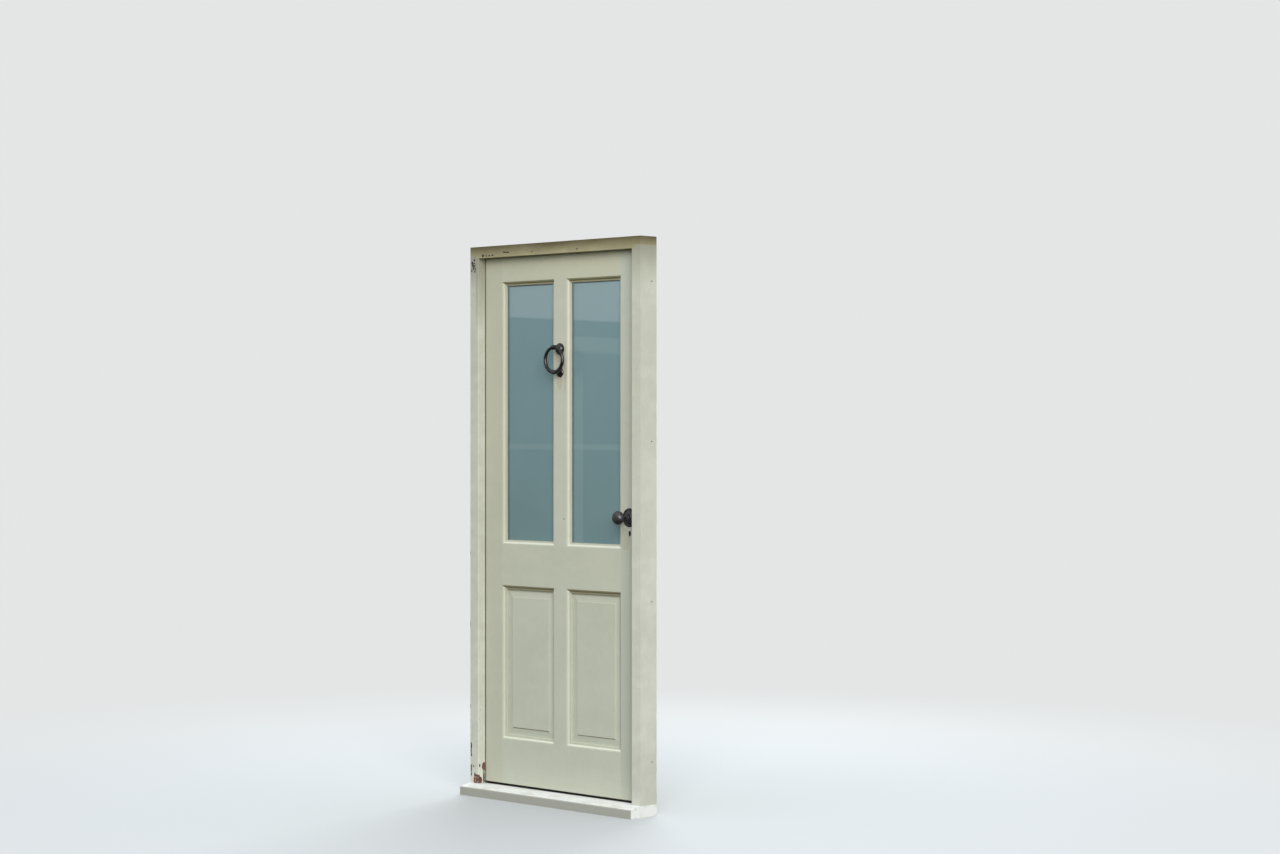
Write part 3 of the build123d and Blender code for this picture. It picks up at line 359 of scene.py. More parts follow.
@dataclass(frozen=True)
class BrushedPaint(Finish):
    """Oil eggshell paint on planed softwood, laid on with a brush.

    The eye sees an even, slightly satin grey sage with fine strokes along each
    member, a little drift in tone and grime where rain doesn't reach, with painted
    shade under edges, in gaps and towards the top, and a painted highlight on
    faces that look up.
    """

    upper: str
    lower: str
    shade: str
    grain: Grain
    tone_z: Span = (0.25, 1.95)
    stroke_mm: float = 2.2
    stroke_stretch: float = 45.0
    figure_mm: float = 9.0
    drift_mm: float = 260.0
    mottle_mm: float = 28.0
    grime_mm: float = 60.0
    grime: str = "#8f8d78"
    grime_share: float = 0.0
    bare_wood: str = "#7d4c40"
    dark_wood: str = "#3d2c26"
    primer: str = "#a19c8c"
    roughness: float = 0.48
    bare_roughness: float = 0.88
    patches: tuple[Patch, ...] = ()
    chip: str = "#29271d"
    flake_edge: str = "#d2cfb6"
    stain: str = "#aaa38c"
    groove_y: float | None = None
    # Towards the top the paint darkens with grime and painted shade.
    top_grime_and_shade: str = "#544b2e"
    top_darkening_z: Span | None = None
    top_darkening_share: float = 0.9
    covered_margin: float | None = None
    covered_top: float = 2017.5
    covered_foot: float = 49.2
    # Faces that look up, below the head, get a painted highlight, partly chalked paint.
    chalk_and_highlight: str = "#dddfcf"
    highlight_share: float = 0.6
    highlight_z: Span = (2012.0, 2004.0)
    # Faces that look down, and strips under ledges, get painted shade with some grime.
    underside_shade_and_grime: str = "#7d7653"
    underside_share: float = 0.7
    ledges: tuple[Ledge, ...] = ()
    ledge_shade_share: float = 0.78
    # Painted shade with some dirt where the leaf closes behind the stops, and at its foot.
    gap_shade_and_dirt: str = "#625f49"
    foot_gap_shade: str = "#24221a"
    keyhole: Span | None = None
    # Painted shade inside the keyhole and in a dark ring round it.
    keyhole_rim_shade: str = "#3c382c"
    keyhole_inside_shade: str = "#1c1a15"

    def draw(self, make: Shading) -> None:
        """Lays the coats, then the dirt, the painted light and shade, the wear and the hidden margins.

        Args:
            make: The material under construction.
        """
        long = self.grain.stretch(self.stroke_stretch)
        # Brush hairs leave strokes about 1.5 mm apart; drawn a little coarser so that they show.
        strokes = make.noise(self.stroke_mm, 2.0, 0.55, long)
        # The wood's raised grain shows through the paint about every 9 mm.
        figure = make.noise(self.figure_mm, 3.0, 0.5, long)
        drift = make.noise(self.drift_mm, 2.0, 0.5)
        mottle = make.noise(self.mottle_mm, 4.0, 0.6)

        make.colour = make.mix(make.ramp(make.z, *self.tone_z), self.lower, self.upper)
        tone = make.math("MULTIPLY_ADD", drift, 0.55, make.times(mottle, 0.35))
        make.lay(self.shade, make.ramp(tone, 0.34, 0.62), 0.5)
        make.lay(self.shade, make.ramp(strokes, 0.30, 0.72), 0.14)
        if self.grime_share > 0.0:
            dirt = make.noise(self.grime_mm, 5.0, 0.62, (2.0, 1.0, 1.0))
            make.lay(self.grime, make.ramp(dirt, 0.28, 0.60), self.grime_share)
        make.relief = make.math("MULTIPLY_ADD", figure, 0.6, make.times(strokes, 0.4))
        make.rough = make.spread(mottle, (self.roughness - 0.06, self.roughness + 0.10))

        self._paint_light_shade_and_weather(make)
        if self.groove_y is not None:
            self._groove(make)
        if self.top_darkening_z is not None:
            self._darken_top(make)
        self._wear(make)
        if self.covered_margin is not None:
            self._covered_edge(make)
        if self.keyhole is not None:
            self._keyhole_dark(make)
        make.finish(0.55, 0.35, IOR=1.48)

    def _paint_light_shade_and_weather(self, make: Shading) -> None:
        """Paints a highlight, partly chalked paint, on what faces up below the head,
        and shade with some grime on what faces down or lies under a ledge.

        Args:
            make: The material under construction.
        """
        facing = make.add("ShaderNodeSeparateXYZ", {0: make.where["Normal"]}).outputs["Z"]
        # Painted highlight, partly chalked paint, on what faces up below the head.
        below_head = make.ramp_mm(make.z, *self.highlight_z)
        make.lay(self.chalk_and_highlight, make.ramp(facing, 0.05, 0.55), below_head, self.highlight_share)
        # Painted shade with some grime on what faces down and under each ledge.
        make.lay(self.underside_shade_and_grime, make.ramp(facing, -0.15, -0.70), self.underside_share)
        for ledge in self.ledges:
            make.lay(self.underside_shade_and_grime, ledge.mask(make), self.ledge_shade_share)

    def _groove(self, make: Shading) -> None:
        """Draws the wandering edge of an old coat down the reveal.

        Args:
            make: The material under construction.
        """
        line = make.math("MULTIPLY_ADD", make.noise(180.0, 2.0), -2.4 * MM, make.y)
        away = make.math("ABSOLUTE", make.math("SUBTRACT", line, self.groove_y * MM))
        make.lay(self.grime, make.ramp_mm(away, 1.5, 0.2), 0.45)

    def _darken_top(self, make: Shading) -> None:
        """Darkens towards the top with olive grime, where no rain washes the wood, and with painted
        shade.

        Args:
            make: The material under construction.
        """
        wander_mm = 26.0
        wander = make.noise(70.0, 4.0, 0.6, (2.5, 1.0, 1.0))
        level = make.math("MULTIPLY_ADD", wander, wander_mm * MM, make.z)
        low, high = ((z + wander_mm / 2) * MM for z in self.top_darkening_z)
        make.lay(self.top_grime_and_shade, make.spread(level, (0.0, 1.0), low, high), self.top_darkening_share)

    def _wear(self, make: Shading) -> None:
        """Stains, cracks and chips the paint where its patches lie.

        Args:
            make: The material under construction.
        """
        share = self._worn(make, Wear.STAIN, 14.0, 4.0, 0.6, (1.0, 1.0, 2.5))
        if share is not None:
            make.lay(self.stain, share, 0.35)
        share = self._worn(make, Wear.CHECKED, 12.0, 3.0, 0.6, (1.0, 1.0, 4.0))
        if share is not None:
            # Checks in old paint run along the grain, 3 mm apart and some 40 mm long.
            fissure = make.noise(3.0, 3.0, 0.6, (1.0, 1.0, 14.0))
            opened = make.times(make.ramp(fissure, 0.36, 0.30), share)
            make.lay(self.dark_wood, opened, 0.8)
            make.relief = make.math("MULTIPLY_ADD", opened, -2.0, make.relief)
        share = self._worn(make, Wear.BARE_WOOD, 7.0, 5.0, 0.65, (1.0, 1.0, 1.6))
        if share is not None:
            tone = make.ramp(make.noise(7.0, 5.0, 0.7, (1.0, 1.0, 1.8)), 0.38, 0.62)
            bare = make.ramp(share, 0.35, 0.75)
            make.lay(self.primer, make.ramp(share, 0.02, 0.35))
            make.lay(make.mix(tone, self.dark_wood, self.bare_wood), bare)
            make.relief = make.math("MULTIPLY_ADD", bare, -2.5, make.relief)
            coarse = make.spread(bare, (self.roughness, self.bare_roughness))
            make.rough = make.largest(make.rough, coarse)
        share = self._worn(make, Wear.DARK_CHIP, 4.5, 5.0, 0.7)
        if share is not None:
            make.lay(self.flake_edge, make.ramp(share, 0.02, 0.25), 0.6)
            make.lay(self.chip, make.ramp(share, 0.30, 0.70))

    def _worn(self, make: Shading, wear: Wear, *grit: float | Point) -> Socket | None:
        """Joins the masks of all patches of one kind.

        Args:
            make: The material under construction.
            wear: The kind of wear.
            grit: The values of the noise that tears the patches' edges.

        Returns:
            The socket with the largest share, or nothing where no patch is of this kind.
        """
        found = [patch for patch in self.patches if patch.wear is wear]
        if not found:
            return None
        torn = make.noise(*grit)
        return make.largest(*(patch.mask(make, torn) for patch in found))

    def _covered_edge(self, make: Shading) -> None:
        """Darkens the margin of the leaf that closes behind the stops, and its foot: painted shade of
        the gaps, with some dirt.

        Args:
            make: The material under construction.
        """
        before, after = 1.2, 0.4
        margin, top, foot = self.covered_margin, self.covered_top, self.covered_foot
        edge = make.ramp_mm(make.math("ABSOLUTE", make.x), margin - before, margin + after)
        high = make.ramp_mm(make.z, top - before, top + after)
        # Painted shade of the gaps behind the stops and under the leaf.
        make.lay(self.gap_shade_and_dirt, make.largest(edge, high), make.ramp_mm(make.y, 6.0, 2.0), 0.8)
        make.lay(self.foot_gap_shade, make.ramp_mm(make.z, foot + 0.5, foot - 0.5))

    def _keyhole_dark(self, make: Shading) -> None:
        """Paints shade inside the keyhole and in a dark ring round it, so that the hole looks wider and
        darker.

        Args:
            make: The material under construction.
        """
        x, z = self.keyhole
        across = make.math("SUBTRACT", make.x, x * MM)
        rise = make.times(make.math("SUBTRACT", make.z, z * MM), 0.62)
        away = make.length(make.out("ShaderNodeCombineXYZ", {0: across, 2: rise}))
        make.lay(self.keyhole_rim_shade, make.ramp_mm(away, 7.6, 5.4), 0.9)
        make.lay(self.keyhole_inside_shade, make.ramp_mm(make.y, 0.15, 0.5), make.ramp_mm(away, 12.0, 10.0))


@dataclass(frozen=True)
class ObscuredGlass(Finish):
    """Acid-etched float glass, 6 mm, smooth outside.

    The etching hides the room, so the eye sees a soft blue grey, darker below,
    with a faint gloss and a painted reflection of the sky that makes the top lighter.
    """

    name: str = "obscured_glass"
    # The upper tone is a painted reflection of the sky.
    top: str = "#8a9fa2"
    middle: str = "#6f8b8e"
    foot: str = "#6e888a"
    faint: str = "#88a0a0"
    shaded: str = "#475250"
    left_edges: Span = (-302.0, 47.25)
    top_edge: float = 1913.0
    sky_reflection_line_z: float = 1780.0
    bar_z: float = 1311.0
    roughness: float = 0.2

    def draw(self, make: Shading) -> None:
        """Draws the zones of tone in the etched pane, with its painted reflection and painted shade.

        Args:
            make: The material under construction.
        """
        make.colour = make.mix(make.ramp(make.z, 0.95, 1.5), self.foot, self.middle)
        # Above a sloping line the pane is lighter: a painted reflection of the sky.
        slope = make.math("MULTIPLY_ADD", make.x, 0.06, make.z)
        make.lay(self.top, make.ramp_mm(slope, self.sky_reflection_line_z - 6, self.sky_reflection_line_z + 4), 0.9)
        bar = make.math("ABSOLUTE", make.math("SUBTRACT", make.z, self.bar_z * MM))
        make.lay(self.faint, make.ramp_mm(bar, 16, 5), 0.35)
        # The right-hand pane has an upright haze at its left and a level one near its top.
        right = make.ramp_mm(make.x, 40, 44)
        upright = make.times(make.ramp_mm(make.x, 108, 100), make.ramp(make.z, 1.68, 1.50), 0.35)
        level = make.times(make.ramp(slope, 1.655, 1.672), make.ramp(slope, 1.724, 1.716), 0.40)
        make.lay(self.faint, right, make.largest(upright, level))
        # The moulding keeps the light off the left and upper margins of each pane.
        left, middle = (make.ramp_mm(make.x, edge + 15, edge + 4) for edge in self.left_edges)
        head = make.ramp_mm(make.z, self.top_edge - 6, self.top_edge - 4)
        make.lay(self.shaded, make.largest(left, make.times(middle, right), head), 0.7)
        cloud = make.ramp(make.noise(190.0, 2.0, 0.5), 0.3, 0.7)
        make.lay(self.faint, cloud, 0.10)
        # Etched grain is about 0.1 mm; drawn at 1.2 mm so that it breaks the gloss.
        make.relief = make.noise(1.2, 2.0, 0.6)
        make.rough = make.spread(cloud, (self.roughness, self.roughness + 0.04))
        make.finish(0.12, 0.08, IOR=1.52, Transmission_Weight=0.18)


@dataclass(frozen=True)
class PaintedStone(Finish):
    """Cast stone slab with worn pale masonry paint.

    The eye sees a chalky off-white top with scuffs, a greyer front darkened by dirt and
    painted shade, and a dark strip of painted shade under the leaf.
    """

    name: str = "threshold_stone"
    top: str = "#dcddd9"
    scuff: str = "#c4c4b8"
    front_dirt_and_shade: str = "#9b9b91"
    under_leaf_shade: str = "#1e1d17"
    front_y: float = -86.0
    scuff_mm: float = 45.0
    # The strip under the leaf, painted dark as shade with some dirt, along Y and on both sides of the
    # middle.
    shaded_strip_y: tuple[float, float, float, float] = (-6.0, -3.0, 38.0, 42.0)
    shaded_strip_x: Span = (426.0, 422.0)
    roughness: float = 0.86

    def draw(self, make: Shading) -> None:
        """Draws the scuffed top, the front darkened by dirt and painted shade, and the shaded strip
        under the leaf.

        Args:
            make: The material under construction.
        """
        scuffs = make.ramp(make.noise(self.scuff_mm, 6.0, 0.65, (1.6, 1.0, 1.0)), 0.46, 0.66)
        make.colour = make.mix(make.times(scuffs, 0.7), self.top, self.scuff)
        # The front face is darker: dirt and painted shade.
        edge = make.math("MULTIPLY_ADD", make.noise(30.0, 4.0, 0.6), 7.0 * MM, make.y)
        make.lay(self.front_dirt_and_shade, make.ramp_mm(edge, self.front_y + 5.5, self.front_y + 1.5))
        # Under the leaf a dark strip: painted shade, with some dirt.
        start, full, fade, end = self.shaded_strip_y
        strip_front = make.ramp_mm(make.y, start, full)
        behind = make.ramp_mm(make.y, end, fade)
        between = make.ramp_mm(make.math("ABSOLUTE", make.x), *self.shaded_strip_x)
        make.lay(self.under_leaf_shade, strip_front, behind, between, 0.97)
        # Sand in the casting is 0.5 to 1 mm; drawn at 1.4 mm.
        sand = make.noise(1.4, 3.0, 0.6)
        pits = make.ramp(make.noise(6.0, 3.0, 0.6), 0.36, 0.28)
        make.relief = make.math("MULTIPLY_ADD", pits, -1.6, sand)
        make.rough = self.roughness
        make.finish(0.5, 0.5)


@dataclass(frozen=True)
class JapannedIron(Finish):
    """Cast iron finished with black japan, worn where hands touch it.

    The eye sees a near-black skin with the slight lumps of the casting and soft
    highlights, duller on the knob than on the knocker.
    """

    skin: str = "#151619"
    worn: str = "#3f393c"
    roughness: float = 0.36
    lump_mm: float = 7.0
    relief_mm: float = 0.5

    def draw(self, make: Shading) -> None:
        """Draws the lumpy skin and where it is rubbed.

        Args:
            make: The material under construction.
        """
        wear = make.ramp(make.noise(15.0, 5.0, 0.66), 0.42, 0.64)
        make.colour = make.mix(make.times(wear, 0.8), self.skin, self.worn)
        lumps = make.noise(self.lump_mm, 2.0, 0.5)
        # Casting sand leaves a grain of about 0.4 mm; drawn at 0.8 mm.
        make.relief = make.math("MULTIPLY_ADD", make.noise(0.8, 2.0, 0.5), 0.12, lumps)
        make.rough = make.spread(wear, (self.roughness, self.roughness + 0.14))
        make.finish(0.6, self.relief_mm, IOR=1.52)


@dataclass(frozen=True)
class BrushedMetal(Finish):
    """Rolled or drawn metal with fine drawing lines, dulled by age."""

    bright: str
    dull: str
    roughness: float = 0.34

    def draw(self, make: Shading) -> None:
        """Draws the lines and the tarnish.

        Args:
            make: The material under construction.
        """
        # Drawing lines are some 0.2 mm apart; drawn at 0.6 mm.
        make.relief = make.noise(0.6, 2.0, 0.6, Grain.UPRIGHT.stretch(30.0))
        tarnish = make.ramp(make.noise(11.0, 5.0, 0.62), 0.42, 0.66)
        make.colour = make.mix(make.times(tarnish, 0.7), self.bright, self.dull)
        make.rough = make.spread(tarnish, (self.roughness, self.roughness + 0.22))
        make.finish(0.3, 0.05, Metallic=1.0)


@dataclass(frozen=True)
class GlazingSealant(Finish):
    """Low-modulus silicone tooled by finger, gone slightly grey.

    The eye sees a thin soft line round each pane with a faint satin shine; its dark
    grey also stands in for the shadow where moulding meets glass, as painted shade.
    """

    name: str = "glazing_sealant"
    clean: str = "#6f746d"
    dust_and_shade: str = "#525750"
    roughness: float = 0.42

    def draw(self, make: Shading) -> None:
        """Draws the dust with the painted shade and the ripple of the finger.

        Args:
            make: The material under construction.
        """
        # Both greys are dark so that the line stands for the shadow at the pane's edge: painted shade.
        dust = make.ramp(make.noise(22.0, 4.0, 0.6), 0.38, 0.64)
        make.colour = make.mix(dust, self.clean, self.dust_and_shade)
        make.relief = make.noise(5.0, 2.0, 0.5)
        make.rough = self.roughness
        make.finish(0.4, 0.2, IOR=1.41)


@dataclass(frozen=True)
class PaleStudioFloor(Finish):
    """Plain matt floor that looks pale, but lights the piece no more than a dark one would."""

    name: str = "studio_floor"
    shown: str = "#bcbfbf"
    bounce: str = "#4a4d43"
    backdrop: str = "#e4e6e6"
    plain_within: float = 1.2
    hazy_beyond: float = 4.5

    def draw(self, make: Shading) -> None:
        """Shows the floor pale and fades it into the backdrop.

        Args:
            make: The material under construction.
        """
        seen = make.add("ShaderNodeLightPath").outputs["Is Camera Ray"]
        lit = make.out("ShaderNodeBsdfDiffuse", {"Color": make.mix(seen, self.bounce, self.shown)})
        haze = make.out("ShaderNodeEmission", {"Color": hex_to_linear(self.backdrop), "Strength": 1.0})
        far = make.ramp(make.length(make.where["Object"]), self.plain_within, self.hazy_beyond)
        both = make.out("ShaderNodeMixShader", {0: make.times(far, seen), 1: lit, 2: haze})
        make.add("ShaderNodeOutputMaterial", {"Surface": both})


def dress(material: Material, *nodes: str) -> None:
    """Gives carried-over CAD nodes their finish.

    Args:
        material: The finish.
        nodes: The nodes' names.
    """
    for node in nodes:
        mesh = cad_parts[node].data
        if mesh.materials:
            for index in range(len(mesh.materials)):
                mesh.materials[index] = material
        else:
            mesh.materials.append(material)
        log.info("dressed %s with %s", node, material.name)


def add_object(name: str, data: bpy.types.ID) -> bpy.types.Object:
    """Makes an object and links it into the scene.

    Args:
        name: The object's name.
        data: Its mesh, lamp or camera.

    Returns:
        The object.
    """
    thing = bpy.data.objects.new(name, data)
    bpy.context.scene.collection.objects.link(thing)
    return thing


def place_piece(name: str, mesh: bpy.types.Mesh, body: Body) -> None:
    """Puts a finished mesh in the scene and lets it ride.

    Args:
        name: The piece's name.
        mesh: The mesh, already in place.
        body: The CAD body that the piece rides on.
    """
    piece = add_object(name, mesh)
    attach(piece, body.value)
    log.info("piece %s rides on %s with %d faces", name, body.value, len(mesh.polygons))


def grow(name: str, tree: Tree, values: dict[str, float], body: Body) -> None:
    """Runs a geometry tree and keeps its result as a plain mesh.

    Args:
        name: The new piece's name.
        tree: The geometry tree.
        values: A value for each named input.
        body: The CAD body that the piece rides on.
    """
    carrier = add_object(name + "_carrier", bpy.data.meshes.new(name + "_carrier"))
    modifier = carrier.modifiers.new("grow", "NODES")
    modifier.node_group = tree
    for item in tree.interface.items_tree:
        if item.name in values:
            modifier[item.identifier] = values[item.name]
    carrier.update_tag()
    graph = bpy.context.evaluated_depsgraph_get()
    mesh = bpy.data.meshes.new_from_object(carrier.evaluated_get(graph))
    mesh.name = name
    carrier.modifiers.clear()
    bpy.data.objects.remove(carrier)
    place_piece(name, mesh, body)


@dataclass(frozen=True)
class PaneRim:
    """A geometry tree that sets something round a rectangle and stands it in place."""

    name: str
    extra: tuple[str, ...]

    def run(self, make: NodeWriter, loop: Socket, given: Outputs) -> Socket:
        """Makes what goes round the rectangle, and returns its socket."""
        raise NotImplementedError

    def build(self, material: Material) -> Tree:
        """Builds the tree.

        Args:
            material: The finish of what it makes.

        Returns:
            The geometry tree, with its inputs in metres.
        """
        tree = bpy.data.node_groups.new(self.name, "GeometryNodeTree")
        tree.interface.new_socket("Geometry", in_out="OUTPUT", socket_type="NodeSocketGeometry")
        for label in ("Width", "Height", "Middle X", "Middle Z", "Face Y", *self.extra):
            tree.interface.new_socket(label, in_out="INPUT", socket_type="NodeSocketFloat")
        make = NodeWriter(tree)
        given = make.add("NodeGroupInput").outputs
        sizes = {label: given[label] for label in ("Width", "Height")}
        loop = make.out("GeometryNodeCurvePrimitiveQuadrilateral", sizes)
        spot = {0: given["Middle X"], 1: given["Face Y"], 2: given["Middle Z"]}
        links = {
            "Geometry": self.run(make, loop, given),
            "Translation": make.out("ShaderNodeCombineXYZ", spot),
            "Rotation": (math.pi / 2, 0, 0),
        }
        stood = make.out("GeometryNodeTransform", links)
        plain = make.out("GeometryNodeRealizeInstances", {0: stood})
        painted = make.out("GeometryNodeSetMaterial", {"Geometry": plain, "Material": material})
        make.add("NodeGroupOutput", {0: painted})
        return tree


@dataclass(frozen=True)
class SealantLine(PaneRim):
    """A round fillet along the rectangle."""

    name: str = "sealant_round_a_pane"
    extra: tuple[str, ...] = ("Thickness",)

    def run(self, make: NodeWriter, loop: Socket, given: Outputs) -> Socket:
        """Runs a round section along the curve.

        Args:
            make: The writer of the geometry tree.
            loop: The rectangle's curve.
            given: The tree's inputs.

        Returns:
            The socket with the fillet's mesh.
        """
        finer = make.out("GeometryNodeSubdivideCurve", {"Curve": loop, "Cuts": 10})
        round_section = {"Resolution": 8, "Radius": given["Thickness"]}
        section = make.out("GeometryNodeCurvePrimitiveCircle", round_section)
        return make.out("GeometryNodeCurveToMesh", {"Curve": finer, "Profile Curve": section})


@dataclass(frozen=True)
class PinHeads(PaneRim):
    """Flat pin heads along the rectangle, each a little out of line."""

    name: str = "pins_round_the_beads"
    extra: tuple[str, ...] = ("Pitch", "Head Radius")
    stray: float = 0.0012
    flatness: float = 0.35
    seed: int = 11

    def run(self, make: NodeWriter, loop: Socket, given: Outputs) -> Socket:
        """Sets a flattened ball at each step along the curve.

        Args:
            make: The writer of the geometry tree.
            loop: The rectangle's curve.
            given: The tree's inputs.

        Returns:
            The socket with the instances.
        """
        steps = {"Curve": loop, "Length": given["Pitch"]}
        spots = make.out("GeometryNodeCurveToPoints", steps, mode="LENGTH")
        round_head = {"Segments": 10, "Rings": 6, "Radius": given["Head Radius"]}
        ball = make.out("GeometryNodeMeshUVSphere", round_head)
        squash = (1.0, 1.0, self.flatness)
        flat = make.out("GeometryNodeTransform", {"Geometry": ball, "Scale": squash})
        most = self.stray
        links = {0: (-most, -most, 0.0), 1: (most, most, 0.0), "Seed": self.seed}
        wiggle = make.out("FunctionNodeRandomValue", links, data_type="FLOAT_VECTOR")
        moved = make.out("GeometryNodeSetPosition", {"Geometry": spots, "Offset": wiggle})
        return make.out("GeometryNodeInstanceOnPoints", {"Points": moved, "Instance": flat})


@dataclass
class Threshold:
    """The slab under the door."""

    stone: PaintedStone = PaintedStone()

    def dress(self) -> None:
        """Gives the slab and its dowels their finishes."""
        dress(self.stone.build(), "threshold")
        dress(BrushedMetal("galvanised_dowel_steel", "#b9bab8", "#8b8c8a", 0.45).build(), "foot_dowels")


@dataclass
class PaintFlakes:
    """Curled chips of old paint round a bare place on the frame, in millimetres."""

    centre: Point
    spread: Span
    count: int = 14
    chip_mm: float = 2.0
    curl_mm: float = 0.5
    proud_mm: float = 0.16
    sunk_mm: float = 0.02
    seed: int = 7

    def chips(self, face_y: float) -> bpy.types.Mesh:
        """Builds the chips as thin curled scales lying on a face.

        Args:
            face_y: The face's place along Y, in millimetres.

        Returns:
            The mesh of all chips.
        """
        rng = random.Random(self.seed)
        shape = bmesh.new()
        for _ in range(self.count):
            angle = rng.uniform(0, math.tau)
            reach = rng.uniform(0.72, 1.0)
            x = self.centre[0] + math.cos(angle) * self.spread[0] * reach
            z = self.centre[2] + math.sin(angle) * self.spread[1] * reach
            self._chip(shape, Vector((x, face_y, z)), rng)
        mesh = bpy.data.meshes.new("paint_flakes")
        shape.to_mesh(mesh)
        shape.free()
        return mesh

    def _chip(self, shape: bmesh.types.BMesh, mid: Vector, rng: random.Random) -> None:
        """Adds one chip with a torn outline and a lifted edge.

        Args:
            shape: The mesh under construction.
            mid: The chip's middle, in millimetres.
            rng: The source of chance.
        """
        sides = rng.randint(5, 8)
        turn = rng.uniform(0, math.tau)
        lift_way = rng.uniform(0, math.tau)
        size = self.chip_mm * rng.uniform(0.5, 1.15)
        outer, inner = [], []
        for number in range(sides):
            a = turn + math.tau * number / sides
            r = size * rng.uniform(0.7, 1.1)
            lift = self.curl_mm * max(0.0, math.cos(a - lift_way)) ** 2
            x, z = mid.x + r * math.cos(a), mid.z + r * math.sin(a)
            outer.append(shape.verts.new(Vector((x, mid.y - self.proud_mm - lift, z)) * MM))
            inner.append(shape.verts.new(Vector((x, mid.y + self.sunk_mm - lift * 0.85, z)) * MM))
        shape.faces.new(outer)
        shape.faces.new(list(reversed(inner)))
        for number in range(sides):
            after = (number + 1) % sides
            shape.faces.new((outer[after], outer[number], inner[number], inner[after]))


